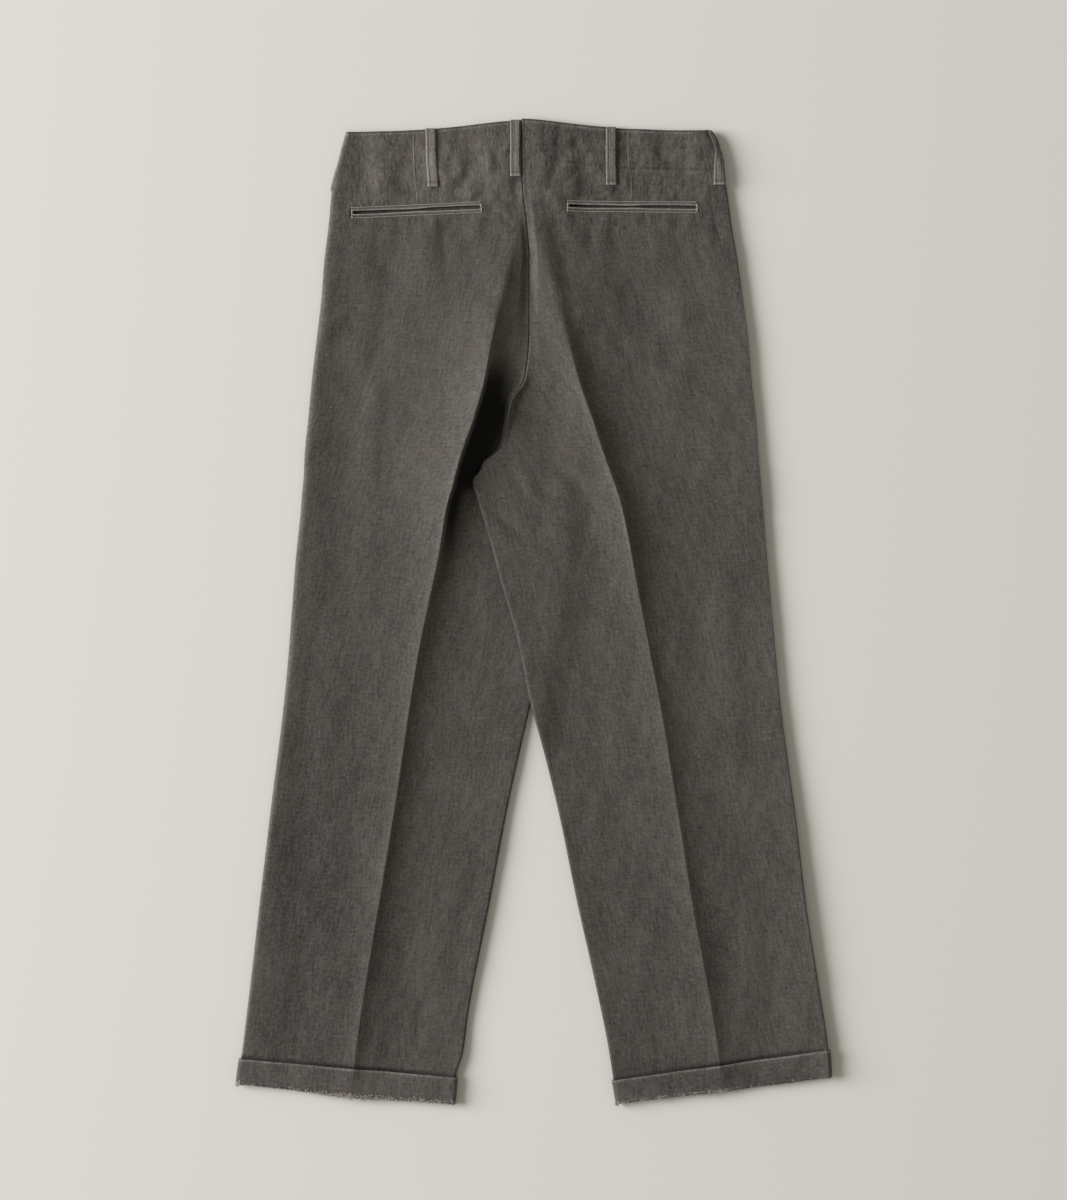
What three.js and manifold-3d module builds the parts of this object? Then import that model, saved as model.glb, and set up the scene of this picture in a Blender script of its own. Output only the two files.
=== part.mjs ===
// Field trousers laid flat with the back side up, in millimetres.
// X runs across the waist, Y runs from the hems to the waist, and Z is up from the surface they lie on.
// The origin is on that surface, under the middle of the outline.
// Left and right are the wearer's own, so the left leg lies at minus X.
// Each panel is a wall of cloth, drawn as rows of points from the waist to the hem.
import * as THREE from "three";
import { mergeVertices } from "three/addons/utils/BufferGeometryUtils.js";
import Module from "manifold-3d";

const wasm = await Module();
wasm.setup();

// Cloth
const CLOTH = 1.2; // wall thickness
const SEAM = 0.36; // gap between two pieces at a seam
const FOLD_STEPS = 3; // facets in a quarter turn of a rounded side fold
const FOLD_TURNS = [0, 1, 2, 3].map((k) => 1 - Math.cos(((k / FOLD_STEPS) * Math.PI) / 2));
const FOLD_REACH = 26; // how far in from a side fold its extra thickness is felt

// Waist
const WAIST_PEAK_X = -13; // the centre back stands highest here
const WAIST_PEAK = 13.3; // rise of the waist edge at the centre back
const WAIST_SPREAD = 85; // half width of that rise

// Crotch, where the right leg lies over the left one
const CROTCH_Y = 143;
const CROTCH_BLEND = 24; // the seat seam turns into a side fold over this length
const OVERLAP_LIFT = 6.2; // the right leg rides this high over the left one
const OVERLAP_SLOPE = 45; // and comes down over this distance
const LIFT_END_Y = 232; // above this the right front is down on the surface again

// Fly, under the garment: the left front laps over the right front
const FLY_WIDTH = 38;
const FLY_TOP_Y = 376;
const FLY_END_Y = 344;
const FLY_SLOPE = 25;

// Turned-up cuffs
const CUFF_HEIGHT = 28;
const CUFF_SWELL_WIDTH = 18; // half width of the bulge in a cuff's bottom fold at the crease
const CUFF_LIP = 2.4; // the cuff reaches this far below the end of the leg and folds over it
const CUFF_ROUND = 0.8; // rounding of the bottom fold
const CUFF_GAP = 0.5;
const CUFF_SLOPE = 56; // the leg comes down off the cuff over this length

const CLEAR = 3; // cloth that rides over an edge stays level this far past it

// Colours
const CLOTH_COLOUR = 0x57524c;
const CUFF_COLOUR = 0x605c57;
const LOOP_COLOUR = 0x6b665f;

const mix = (a, b, t) => a + (b - a) * t;
const clamp = (t) => Math.min(1, Math.max(0, t));
const smooth = (t) => clamp(t) ** 2 * (3 - 2 * clamp(t));
const ramp = (from, to, t) => smooth((t - from) / (to - from));

// A smooth curve through the points (xs[i], ys[i]) that never overshoots them.
function monotone(xs, ys) {
  const last = xs.length - 1;
  const slopes = xs.slice(1).map((x, i) => (ys[i + 1] - ys[i]) / (x - xs[i]));
  const tangent = (i) => {
    if (i === 0 || i === last) return slopes[Math.min(i, last - 1)];
    const [before, after] = [slopes[i - 1], slopes[i]];
    return before * after <= 0 ? 0 : (2 * before * after) / (before + after);
  };
  const tangents = xs.map((_, i) => tangent(i));
  return (at) => {
    const x = Math.min(xs[last], Math.max(xs[0], at));
    const i = Math.min(last - 1, Math.max(0, xs.findIndex((value) => value > x) - 1));
    const k = x === xs[last] ? last - 1 : i;
    const span = xs[k + 1] - xs[k];
    const t = (x - xs[k]) / span;
    return (
      ys[k] * (1 + 2 * t) * (1 - t) ** 2 +
      ys[k + 1] * (3 - 2 * t) * t ** 2 +
      span * t * (1 - t) * (tangents[k] * (1 - t) - tangents[k + 1] * t)
    );
  };
}

// A table whose first column is y becomes one curve of y for each other column.
function curves(columns, rows) {
  const sorted = [...rows].sort((a, b) => a[0] - b[0]);
  const keys = sorted.map((row) => row[0]);
  const names = columns.split(" ").slice(1);
  return Object.fromEntries(
    names.map((name, k) => [name, monotone(keys, sorted.map((row) => row[k + 1]))]),
  );
}

// The seat seam in plan, and its height on the left and right back
const seat = curves("y x left right", [
  [531, -13, 6.2, 6.6],
  [467, -12, 6, 6.4],
  [413, -6.5, 5.6, 6],
  [381, -4.5, 5.4, 5.8],
  [337, -4.5, 5.2, 5.4],
  [294, -5, 5.6, 5.6],
  [251, -12, 10, 10],
  [230, -23.5, 11.5, 11.5],
  [208, -30, 12, 12],
  [186, -36, 11, 11.5],
  [168, -47.5, 8, 10.5],
  [156, -56, 6, 9.6],
  [143, -66, 4.4, 8.8],
]);

// Left leg in plan: the side fold, the pressed crease and, below the crotch, the inseam fold.
// From y 143 to -91 its inseam lies hidden under the right leg.
const leftPlan = curves("y outer crease inner", [
  [531, -198, -31, -13],
  [505, -206, -28, -13],
  [489, -210, -26, -13],
  [467, -216, -23, -13],
  [413, -221.5, -21, -13],
  [381, -225.5, -26.5, -13],
  [337, -229, -36, -13],
  [294, -234, -45, -13],
  [251, -239, -52.5, -30],
  [208, -243, -64, -60],
  [168, -247, -78, -66],
  [143, -248, -85, -66],
  [135, -249, -87, -48],
  [124, -250, -90.5, -18],
  [110, -251, -94, 8],
  [90, -253, -97.5, 24],
  [57, -256.5, -103, 29],
  [10, -260, -113, 21],
  [-30, -263, -121.5, 11],
  [-91, -268.5, -132, -1.5],
  [-209, -283, -149.5, -27.5],
  [-310, -295, -166, -46.5],
  [-431, -309, -186, -70],
  [-475, -314.5, -192, -76],
  [-500, -318.5, -194.5, -83.5],
  [-530, -321, -197, -85.5],
]);

// Right leg in plan
const rightPlan = curves("y outer crease inner", [
  [531, 181, 12, -13],
  [517, 191.5, 11, -13],
  [505, 200, 9.5, -13],
  [494, 205, 9, -13],
  [483, 208.5, 8.5, -13],
  [467, 212, 7.5, -13],
  [413, 217, 7.5, -13],
  [381, 222, 15.5, -13],
  [337, 226.5, 31.5, -13],
  [294, 231.5, 40.5, -13],
  [251, 235, 51, -30],
  [208, 240, 64.5, -60],
  [165, 243, 77, -66],
  [143, 245, 85, -66],
  [121, 247, 92.5, -60],
  [78, 250.5, 102, -47],
  [40, 253.5, 109, -37],
  [-30, 260, 122.5, -17],
  [-94, 266, 135, -4],
  [-159, 274.5, 146, 13.5],
  [-224, 283.5, 156.5, 29],
  [-310, 293.5, 170, 46.5],
  [-397, 307, 186, 66],
  [-462, 317, 197, 79.5],
  [-496, 320, 201, 85],
  [-530, 321.5, 204, 90.5],
]);

// Relief of each leg. body is the thickness of the flattened tube between its folds, fold what the
// outer fold adds to it and roll that fold's rounding. ridge is the height of the crease, lit and
// shade how far it falls away towards minus and plus X. inFold and inRoll are the inner fold's.
const leftRelief = curves("y body fold roll ridge lit shade inFold inRoll", [
  [531, 5.4, 3, 6, 0, 40, 16, 0, 8],
  [460, 5.2, 3, 6, 0.3, 40, 12, 0, 8],
  [413, 5, 3, 6, 1.5, 40, 8, 0, 8],
  [381, 5, 3, 5.5, 5, 38, 8, 0, 9],
  [337, 5, 3, 5, 12, 36, 9, 0, 10],
  [294, 4.8, 3, 5, 18, 34, 8, 0, 12],
  [251, 4.6, 3, 4.5, 24, 32, 5, 0, 16],
  [208, 4.4, 3, 4.5, 27, 32, 4.5, 0, 10],
  [165, 4.4, 3, 4.5, 25, 32, 4.5, 0, 6],
  [121, 4.4, 3, 4.5, 20, 34, 4.5, 0.3, 4],
  [78, 4.4, 3, 4.5, 16, 36, 12, 0.3, 4],
  [35, 4.4, 3, 4.5, 12, 38, 14, 0.3, 4],
  [-30, 4.4, 3, 4.5, 10, 40, 15, 0.3, 4],
  [-80, 4.4, 3, 4.5, 9, 42, 14, 0.4, 4],
  [-150, 4.2, 3, 4.5, 8, 42, 13, 2.6, 4.2],
  [-310, 4.2, 3, 4.5, 8, 42, 13, 3, 4.5],
  [-461, 4.2, 2.4, 4.2, 6, 42, 15, 2.6, 4.2],
  [-530, 4.2, 2, 4, 5, 42, 15, 2.4, 4],
]);

const rightRelief = curves("y body fold roll ridge lit shade inFold inRoll", [
  [531, 5.4, 5, 12, 0, 30, 20, 0, 8],
  [460, 5.2, 5.4, 12, 1, 30, 20, 0, 8],
  [413, 5, 5, 10, 6, 24, 18, 0, 9],
  [381, 5, 4.4, 8, 10, 26, 20, 0, 10],
  [337, 5, 3.5, 5.5, 14, 28, 24, 0, 10],
  [294, 5, 3, 5, 13, 30, 18, 0, 10],
  [251, 5, 3, 4.5, 15, 34, 12, 0, 10],
  [208, 5, 3, 4.5, 14, 36, 13, 0.5, 8],
  [165, 5, 3, 4.5, 13, 38, 14, 1, 6],
  [121, 5, 3, 4.5, 14, 40, 13, 2, 4.5],
  [78, 4.8, 3, 4.5, 14, 40, 12, 2, 4.5],
  [35, 4.7, 3, 4.5, 12, 40, 11, 2, 4.5],
  [-30, 4.6, 3, 4.5, 9, 40, 9, 2, 4.5],
  [-159, 4.4, 3, 4.5, 8, 40, 9, 2.4, 4.5],
  [-310, 4.2, 3, 4.5, 9, 40, 9, 3, 4.5],
  [-461, 4.2, 2.4, 4.2, 7, 40, 10, 2.6, 4.2],
  [-530, 4.2, 2, 4, 6, 40, 10, 2.4, 4],
]);

// How far the right front wraps over the side fold before it meets the right back
const { wrap: rightWrap } = curves("y wrap", [
  [531, 15],
  [440, 18],
  [400, 15],
  [350, 9],
  [300, 6],
  [-530, 5.5],
]);

// The outer and inner end of each cuff's top edge and bottom fold. swell is how much further the
// bottom fold comes down at the crease.
const left = {
  sign: -1,
  waistY: 517.5,
  plan: leftPlan,
  relief: leftRelief,
  cuffTop: { outer: [-317.5, -481], inner: [-82.5, -501.5], swell: 0 },
  cuffFold: { outer: [-321.8, -508], inner: [-84, -530.3], swell: 3 },
};
const right = {
  sign: 1,
  waistY: 519,
  plan: rightPlan,
  relief: rightRelief,
  cuffTop: { outer: [320, -471.5], inner: [86.5, -504.5], swell: 0 },
  cuffFold: { outer: [322, -500.6], inner: [89, -529.7], swell: 1 },
};

// The rows of every panel between its waist edge and its hem, by their y on the seat seam or inseam
const ROWS = [
  523, 508, 490, 468, 445, 420, 398, 376, 344, 318, 294, 272, 251, 230, 208, 186, 168, 156,
  143, 138, 132, 122, 108, 88, 60, 25, -15, -60, -95, -135, -180, -240, -310, -370, -420, -455, -480,
  -498, -514,
];

const innerX = (side, y) => (y >= CROTCH_Y ? seat.x(y) : side.plan.inner(y));

// 0 along the seat seam, where the edge lies flat, and 1 along a leg, where it is a rounded fold
const foldedIn = (y) => 1 - ramp(CROTCH_Y, CROTCH_Y + CROTCH_BLEND, y);

// The height of a line across a cuff at x
function lineY(side, line, x) {
  const [[x0, y0], [x1, y1]] = [line.outer, line.inner];
  const off = (x - side.plan.crease(y1)) / CUFF_SWELL_WIDTH;
  return mix(y0, y1, (x - x0) / (x1 - x0)) - line.swell * Math.exp(-off * off);
}

function waistLine(side, x) {
  const away = Math.abs(x - WAIST_PEAK_X) / WAIST_SPREAD;
  return side.waistY + WAIST_PEAK * Math.exp(-(away ** 1.6));
}

const hemLine = (side, x) => lineY(side, side.cuffFold, x) + CUFF_LIP;

// Where what lies under the right leg ends: the fly above, and the left leg below the crotch
function underEdge(y) {
  const flyEdge = seat.x(y) + FLY_WIDTH + 2;
  const legEdge = leftPlan.inner(Math.min(y, 90));
  return mix(legEdge, flyEdge, ramp(CROTCH_Y + 40, FLY_END_Y - 40, y));
}

// The height of the outside of the front above the surface
function floorZ(side, x, y) {
  const aboveCuff = y - lineY(side, side.cuffTop, x);
  const overCuff = (CLOTH + CUFF_GAP) * (1 - ramp(CLEAR, CLEAR + CUFF_SLOPE, aboveCuff));
  if (side === left) return overCuff;
  const past = x - underEdge(y);
  const overLeg = OVERLAP_LIFT * (1 - ramp(CLEAR, OVERLAP_SLOPE, past));
  const upToCrotch = 1 - ramp(CROTCH_Y + 15, LIFT_END_Y, y);
  const overFly = (CLOTH + SEAM) * (1 - ramp(CLEAR, FLY_SLOPE, past));
  return overCuff + overLeg * upToCrotch + overFly * ramp(FLY_END_Y - 40, FLY_END_Y - 8, y);
}

// The thickness of the flattened tube, from the outside of the front to the outside of the back
function tubeThickness(side, x, y) {
  const { plan, relief } = side;
  const fromCrease = x - plan.crease(y);
  const fall = fromCrease < 0 ? relief.lit(y) : relief.shade(y);
  return (
    relief.body(y) +
    relief.fold(y) * Math.exp(-Math.abs(x - plan.outer(y)) / FOLD_REACH) +
    relief.inFold(y) * Math.exp(-Math.abs(x - innerX(side, y)) / FOLD_REACH) +
    relief.ridge(y) * Math.exp(-Math.abs(fromCrease) / fall)
  );
}

const rounded = (d, roll) => (d >= roll ? 1 : Math.sqrt(Math.max(0, 1 - ((roll - d) / roll) ** 2)));

// How far a point is up each edge's rounding, 1 where the cloth lies open
function edgeShares(side, x, y) {
  const outerShare = rounded(Math.abs(x - side.plan.outer(y)), side.relief.roll(y));
  const away = Math.abs(x - innerX(side, y));
  const roll = side.relief.inRoll(y);
  const innerShare = mix(smooth(away / roll), rounded(away, roll), foldedIn(y));
  return { outerShare, innerShare };
}

// The outside of the back panel
function topZ(side, x, y) {
  const thick = tubeThickness(side, x, y);
  const floor = floorZ(side, x, y);
  const { outerShare, innerShare } = edgeShares(side, x, y);
  const open = thick * (0.5 + 0.5 * outerShare);
  const seamHeight = side === left ? seat.left(y) : seat.right(y);
  const edge = mix(seamHeight - floor, thick / 2, foldedIn(y));
  return floor + edge + (open - edge) * innerShare;
}

// The outside of the front panel, which lies underneath
function bottomZ(side, x, y) {
  const half = tubeThickness(side, x, y) / 2;
  const { outerShare, innerShare } = edgeShares(side, x, y);
  const curl = half * (1 - outerShare) + half * (1 - innerShare) * foldedIn(y);
  return floorZ(side, x, y) + curl;
}

// The x of every column of a back panel at y, from its outer edge to its inner one
function backColumns(side, y, lap) {
  const { plan, relief, sign } = side;
  const inward = -sign;
  const outer = plan.outer(y);
  const inner = innerX(side, y) + (sign * SEAM) / 2;
  const crease = plan.crease(y);
  const roll = relief.roll(y);
  const inRoll = relief.inRoll(y);
  const folded = FOLD_TURNS.map((turn) => outer + inward * roll * turn);
  const outerFold = lap ? [outer + inward * (lap + SEAM / 2)] : folded;
  const from = outerFold[outerFold.length - 1];
  const to = inner - inward * inRoll;
  const towardCrease = [0.22, 0.48, 0.72, 0.9].map((t) => mix(from, crease, t));
  const pastCrease = [0.1, 0.24, 0.45, 0.72].map((t) => mix(crease, to, t));
  const innerFold = FOLD_TURNS.map((turn) => inner - inward * inRoll * turn).reverse();
  return [...outerFold, ...towardCrease, crease, ...pastCrease, ...innerFold];
}

// The x of every column of a front panel at y, from its inner edge to its outer fold
function frontColumns(side, y) {
  const { plan, relief, sign } = side;
  const inward = -sign;
  const lapped = side === left ? FLY_WIDTH * ramp(FLY_END_Y, FLY_TOP_Y, y) : 0;
  const inner = innerX(side, y) + (sign * SEAM) / 2 + lapped;
  const outer = plan.outer(y);
  const innerFold = FOLD_TURNS.map((turn) => inner - inward * relief.inRoll(y) * turn);
  const outerFold = FOLD_TURNS.map((turn) => outer + inward * relief.roll(y) * turn).reverse();
  const [from, to] = [innerFold[FOLD_STEPS], outerFold[0]];
  const between = [0.2, 0.4, 0.6, 0.8].map((t) => mix(from, to, t));
  if (side === left) return [...innerFold, ...between, ...outerFold];
  const edge = Math.max(from, underEdge(y)) + CLEAR;
  const overEdge = [0, 0.32, 0.64, 1].map((t) => edge + OVERLAP_SLOPE * t);
  return [...innerFold, ...overEdge, mix(overEdge[3], to, 0.5), ...outerFold];
}

// The y of a row at x. A row is named by its y at the inner edge, and runs between waist and hem.
function rowY(side, row, x) {
  const x0 = innerX(side, row);
  const share = (waistLine(side, x0) - row) / (waistLine(side, x0) - hemLine(side, x0));
  return mix(waistLine(side, x), hemLine(side, x), share);
}

function rowsOf(side) {
  const hemInner = side.plan.inner(ROWS[ROWS.length - 1]);
  return [waistLine(side, WAIST_PEAK_X), ...ROWS, hemLine(side, hemInner)];
}

// Column k of a row, as the point where the column's x and the row's y agree
function settle(side, row, columnX) {
  let y = row;
  let x = 0;
  for (let pass = 0; pass < 4; pass += 1) {
    x = columnX(y);
    y = rowY(side, row, x);
  }
  return [x, y];
}

const up = new THREE.Vector3(0, 0, 1);
const down = new THREE.Vector3(0, 0, -1);
const across = (sign) => new THREE.Vector3(sign, 0, 0);

// The upright way out of the back at a point, across the garment
function topWay(side, x, y) {
  const slope = topZ(side, x + 0.5, y) - topZ(side, x - 0.5, y);
  return new THREE.Vector3(-slope, 0, 1).normalize();
}

// The way out at an inner edge: level at the inseam fold, and upright along the seat. open is the
// panel's own way out, up or down.
const innerWay = (side, open) => (y) =>
  open.clone().lerp(across(-side.sign), foldedIn(y)).normalize();

// The way out at an outer edge: level on the left fold, and upright where the right front wraps over
function outerWay(side) {
  if (side === left) return () => across(-1);
  return (y) => topWay(side, side.plan.outer(y) - side.sign * rightWrap(y), y);
}

function turned(grid) {
  return grid.map((row) => [...row].reverse());
}

// A back panel's rows run in rising x, so that its outside faces up.
function backGrid(side) {
  const wrapped = side === right;
  const count = backColumns(side, 0, wrapped).length;
  const grid = rowsOf(side).map((row) =>
    [...Array(count).keys()].map((k) => {
      const columnX = (y) => backColumns(side, y, wrapped ? rightWrap(y) : 0)[k];
      const [x, y] = settle(side, row, columnX);
      const lift = (k === 0 && !wrapped) || k === count - 1 ? SEAM / 2 : 0;
      return new THREE.Vector3(x, y, topZ(side, x, y) + lift);
    }),
  );
  return side === left ? grid : turned(grid);
}

// A front panel's rows run in falling x, so that its outside faces down. The right one carries on
// over the side fold as far as its wrap.
function frontGrid(side) {
  const under = frontColumns(side, 0).length;
  const over = side === right ? FOLD_STEPS + 2 : 0;
  const overX = (y, k) => {
    const end = rightWrap(y) - SEAM / 2;
    const onFold = Math.min(side.relief.roll(y), end * 0.8);
    const onTop = mix(onFold, end, (k - FOLD_STEPS) / 2);
    const inward = k <= FOLD_STEPS ? onFold * FOLD_TURNS[k] : onTop;
    return side.plan.outer(y) - side.sign * inward;
  };
  const grid = rowsOf(side).map((row) => {
    const below = [...Array(under).keys()].map((k) => {
      const [x, y] = settle(side, row, (at) => frontColumns(side, at)[k]);
      const drop = k === 0 || (k === under - 1 && !over) ? SEAM / 2 : 0;
      return new THREE.Vector3(x, y, bottomZ(side, x, y) - drop * foldedIn(y));
    });
    const above = [...Array(over).keys()].map((k) => {
      const [x, y] = settle(side, row, (at) => overX(at, k + 1));
      return new THREE.Vector3(x, y, topZ(side, x, y));
    });
    return [...below, ...above];
  });
  return side === left ? grid : turned(grid);
}

// The outward normal at every point of a grid
function normals(grid) {
  const step = (a, b) => new THREE.Vector3().subVectors(b, a);
  const last = grid.length - 1;
  return grid.map((row, i) =>
    row.map((_, j) => {
      const lengthwise = step(grid[Math.max(0, i - 1)][j], grid[Math.min(last, i + 1)][j]);
      const crosswise = step(row[Math.max(0, j - 1)], row[Math.min(row.length - 1, j + 1)]);
      return lengthwise.cross(crosswise).normalize();
    }),
  );
}

const moved = (grid, ways, by) =>
  grid.map((row, i) => row.map((p, j) => p.clone().addScaledVector(ways[i][j], by)));

// A closed solid between an outer and an inner grid of the same size. A ring joins its own ends.
function shell(outer, inner, ring = false) {
  const rows = outer.length;
  const columns = outer[0].length;
  const points = [...outer.flat(), ...inner.flat()];
  const at = (layer, i, j) => layer * rows * columns + i * columns + (j % columns);
  const faces = [];
  const quad = (a, b, c, d) => faces.push(a, b, c, a, c, d);
  const spans = ring ? columns : columns - 1;
  for (let i = 0; i < rows - 1; i += 1) {
    for (let j = 0; j < spans; j += 1) {
      quad(at(0, i, j), at(0, i + 1, j), at(0, i + 1, j + 1), at(0, i, j + 1));
      quad(at(1, i, j), at(1, i, j + 1), at(1, i + 1, j + 1), at(1, i + 1, j));
    }
    if (!ring) {
      quad(at(0, i, 0), at(1, i, 0), at(1, i + 1, 0), at(0, i + 1, 0));
      const end = columns - 1;
      quad(at(0, i, end), at(0, i + 1, end), at(1, i + 1, end), at(1, i, end));
    }
  }
  for (let j = 0; j < spans; j += 1) {
    quad(at(0, 0, j), at(0, 0, j + 1), at(1, 0, j + 1), at(1, 0, j));
    const end = rows - 1;
    quad(at(0, end, j), at(1, end, j), at(1, end, j + 1), at(0, end, j + 1));
  }
  const geometry = new THREE.BufferGeometry().setFromPoints(points);
  geometry.setIndex(faces);
  return geometry;
}

// A panel as a wall. edgeWays gives the way out at its first and last column.
function panel(grid, edgeWays) {
  const ways = normals(grid);
  ways.forEach((row, i) => {
    row[0] = edgeWays[0](grid[i][0].y);
    row[row.length - 1] = edgeWays[1](grid[i][row.length - 1].y);
  });
  return shell(grid, moved(grid, ways, -CLOTH));
}

function solidOf(geometry) {
  const vertProperties = new Float32Array(geometry.attributes.position.array);
  const triVerts = new Uint32Array(geometry.index.array);
  return new wasm.Manifold(new wasm.Mesh({ numProp: 3, vertProperties, triVerts }));
}

function geometryOf(solid) {
  const { vertProperties, triVerts } = solid.getMesh();
  const geometry = new THREE.BufferGeometry();
  geometry.setAttribute("position", new THREE.BufferAttribute(vertProperties, 3));
  geometry.setIndex(new THREE.BufferAttribute(triVerts, 1));
  return geometry;
}

// Back pockets: a window cut in the panel, filled by an upper and a lower welt with a slit between
const POCKET = { length: 141, height: 10.8, slit: 1.4, proud: 0.3, roll: 0.35 };
const WINDOW_DEPTH = 60;
const pockets = {
  left: { side: left, x: -126, y: 434, angle: 2.6 },
  right: { side: right, x: 106.5, y: 437.5, angle: -0.5 },
};

// A point of a pocket, from its own length and height, on the panel
function onPocket({ side, x, y, angle }, along, height, raise) {
  const a = THREE.MathUtils.degToRad(angle);
  const px = x + along * Math.cos(a) - height * Math.sin(a);
  const py = y + along * Math.sin(a) + height * Math.cos(a);
  return new THREE.Vector3(px, py, topZ(side, px, py) + raise);
}

function pocketWindow(pocket) {
  const window = new THREE.BoxGeometry(POCKET.length, POCKET.height, WINDOW_DEPTH);
  window.rotateZ(THREE.MathUtils.degToRad(pocket.angle));
  window.translate(pocket.x, pocket.y, 0);
  window.deleteAttribute("normal");
  window.deleteAttribute("uv");
  return mergeVertices(window);
}

// One welt: a strip along the pocket, standing a little proud of the panel
function welt(pocket, isUpper) {
  const { length, height, slit, proud, roll } = POCKET;
  const half = length / 2 - SEAM;
  const [low, high] = isUpper
    ? [slit / 2, height / 2 - SEAM]
    : [SEAM - height / 2, -slit / 2];
  const stations = [...Array(13).keys()].map((k) => mix(-half, half, k / 12));
  const heights = [high, mix(high, low, 0.5), low];
  const outer = heights.map((h, i) =>
    stations.map((along) => onPocket(pocket, along, h, i === 1 ? proud + roll : proud)),
  );
  const ways = outer.map((row) => row.map(() => up));
  return shell(outer, moved(outer, ways, -CLOTH - proud));
}

// Belt loops: a strip sewn down at both ends, standing off the cloth between them. top and foot are
// the middle of each end, and the widths are as the strip shows from above.
const LOOP = { off: 0.7, thick: 1.4, arch: 1.9, over: 1.6, lip: 3.4, steps: 10 };
const loops = {
  belt_loop_left: { side: left, top: [-110.6, 0], foot: [-107.8, 460], widths: [11.4, 11.4] },
  belt_loop_centre: { side: left, top: [-20.4, 0], foot: [-19.8, 470.4], widths: [11.2, 11.2] },
  belt_loop_right: { side: right, top: [83.8, 0], foot: [84, 461.8], widths: [11.4, 11.4] },
  belt_loop_right_side: { side: right, top: [188.5, 0], foot: [200.3, 461.6], widths: [7, 12.6] },
};

function beltLoop({ side, top, foot, widths }) {
  const topY = waistLine(side, top[0]);
  const rows = [...Array(LOOP.steps + 1).keys()].map((k) => {
    const t = k / LOOP.steps;
    const y = mix(topY, foot[1], t);
    const off = LOOP.off + LOOP.thick + LOOP.arch * Math.sin(Math.PI * t) ** 0.6;
    return [-0.5, -0.25, 0, 0.25, 0.5].map((part) => {
      const x = mix(top[0], foot[0], t ** 0.8) + part * mix(widths[0], widths[1], t);
      const base = new THREE.Vector3(x, y, topZ(side, x, y));
      return base.addScaledVector(topWay(side, x, y), off);
    });
  });
  // The upper end turns down over the waist edge.
  const over = rows[0].map((p) => p.clone().add(new THREE.Vector3(0, LOOP.over, -LOOP.off)));
  const end = over.map((p) => p.clone().add(new THREE.Vector3(0, CUFF_GAP, LOOP.off - LOOP.lip)));
  const grid = [end, over, ...rows.slice(1)];
  return shell(grid, moved(grid, normals(grid), -LOOP.thick));
}

// The x of every point round a cuff at y: over the back, then back again along the front
function cuffColumns(side, y) {
  return [...backColumns(side, y, 0), ...frontColumns(side, y).slice(1, -1)];
}

// A ring of points round a cuff, above mm over its bottom fold and out mm off the leg
function cuffRing(side, above, out) {
  const share = 1 - above / CUFF_HEIGHT;
  const lineAt = (x) => mix(lineY(side, side.cuffTop, x), lineY(side, side.cuffFold, x), share);
  const onBack = backColumns(side, 0, 0).length;
  const ring = cuffColumns(side, 0).map((_, k) => {
    let y = lineAt(0);
    let x = 0;
    for (let pass = 0; pass < 4; pass += 1) {
      x = cuffColumns(side, y)[k];
      y = lineAt(x);
    }
    return new THREE.Vector3(x, y, k < onBack ? topZ(side, x, y) : bottomZ(side, x, y));
  });
  return grow(side === left ? ring : ring.reverse(), out);
}

// A cuff: the hem turned up outside the leg. Its fold at the bottom closes over the leg's end.
function cuff(side) {
  const thick = CLOTH + CUFF_GAP;
  const lip = CUFF_LIP - SEAM;
  const sections = [
    { above: CUFF_HEIGHT, out: thick, into: CUFF_GAP },
    { above: CUFF_HEIGHT / 2, out: thick, into: CUFF_GAP },
    { above: lip, out: thick, into: CUFF_GAP },
    { above: lip - 0.1, out: thick, into: -CLOTH },
    { above: CUFF_ROUND / 2, out: thick - CUFF_ROUND / 3, into: CUFF_ROUND / 3 - CLOTH },
    { above: 0, out: thick - CUFF_ROUND, into: CUFF_ROUND - CLOTH },
  ];
  const outer = sections.map(({ above, out }) => cuffRing(side, above, out));
  const inner = sections.map(({ above, into }) => cuffRing(side, above, into));
  return shell(outer, inner, true);
}

// Moves a closed ring of points outwards in its own upright plane.
function grow(ring, by) {
  const count = ring.length;
  return ring.map((p, k) => {
    const before = ring[(k + count - 1) % count];
    const after = ring[(k + 1) % count];
    const way = new THREE.Vector2(after.x - before.x, after.z - before.z).normalize();
    return new THREE.Vector3(p.x - way.y * by, p.y, p.z + way.x * by);
  });
}

const fabric = (color) => new THREE.MeshStandardMaterial({ color, roughness: 0.95, metalness: 0 });
const cloth = fabric(CLOTH_COLOUR);
const cuffCloth = fabric(CUFF_COLOUR);
const loopCloth = fabric(LOOP_COLOUR);

function backPanel(side, pocket) {
  const ways = [outerWay(side), innerWay(side, up)];
  const wall = panel(backGrid(side), side === left ? ways : ways.reverse());
  return geometryOf(solidOf(wall).subtract(solidOf(pocketWindow(pocket))));
}

function frontPanel(side) {
  const ways = [innerWay(side, down), outerWay(side)];
  return panel(frontGrid(side), side === left ? ways : ways.reverse());
}

const trousers = new THREE.Group();
function add(name, geometry, material = cloth) {
  const mesh = new THREE.Mesh(geometry, material);
  mesh.name = name;
  trousers.add(mesh);
}

add("left_front", frontPanel(left));
add("right_front", frontPanel(right));
add("left_back", backPanel(left, pockets.left));
add("right_back", backPanel(right, pockets.right));
for (const [name, pocket] of Object.entries(pockets)) {
  add(`${name}_pocket_upper_welt`, welt(pocket, true));
  add(`${name}_pocket_lower_welt`, welt(pocket, false));
}
for (const [name, loop] of Object.entries(loops)) add(name, beltLoop(loop), loopCloth);
add("left_cuff", cuff(left), cuffCloth);
add("right_cuff", cuff(right), cuffCloth);

export default trousers;
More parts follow.
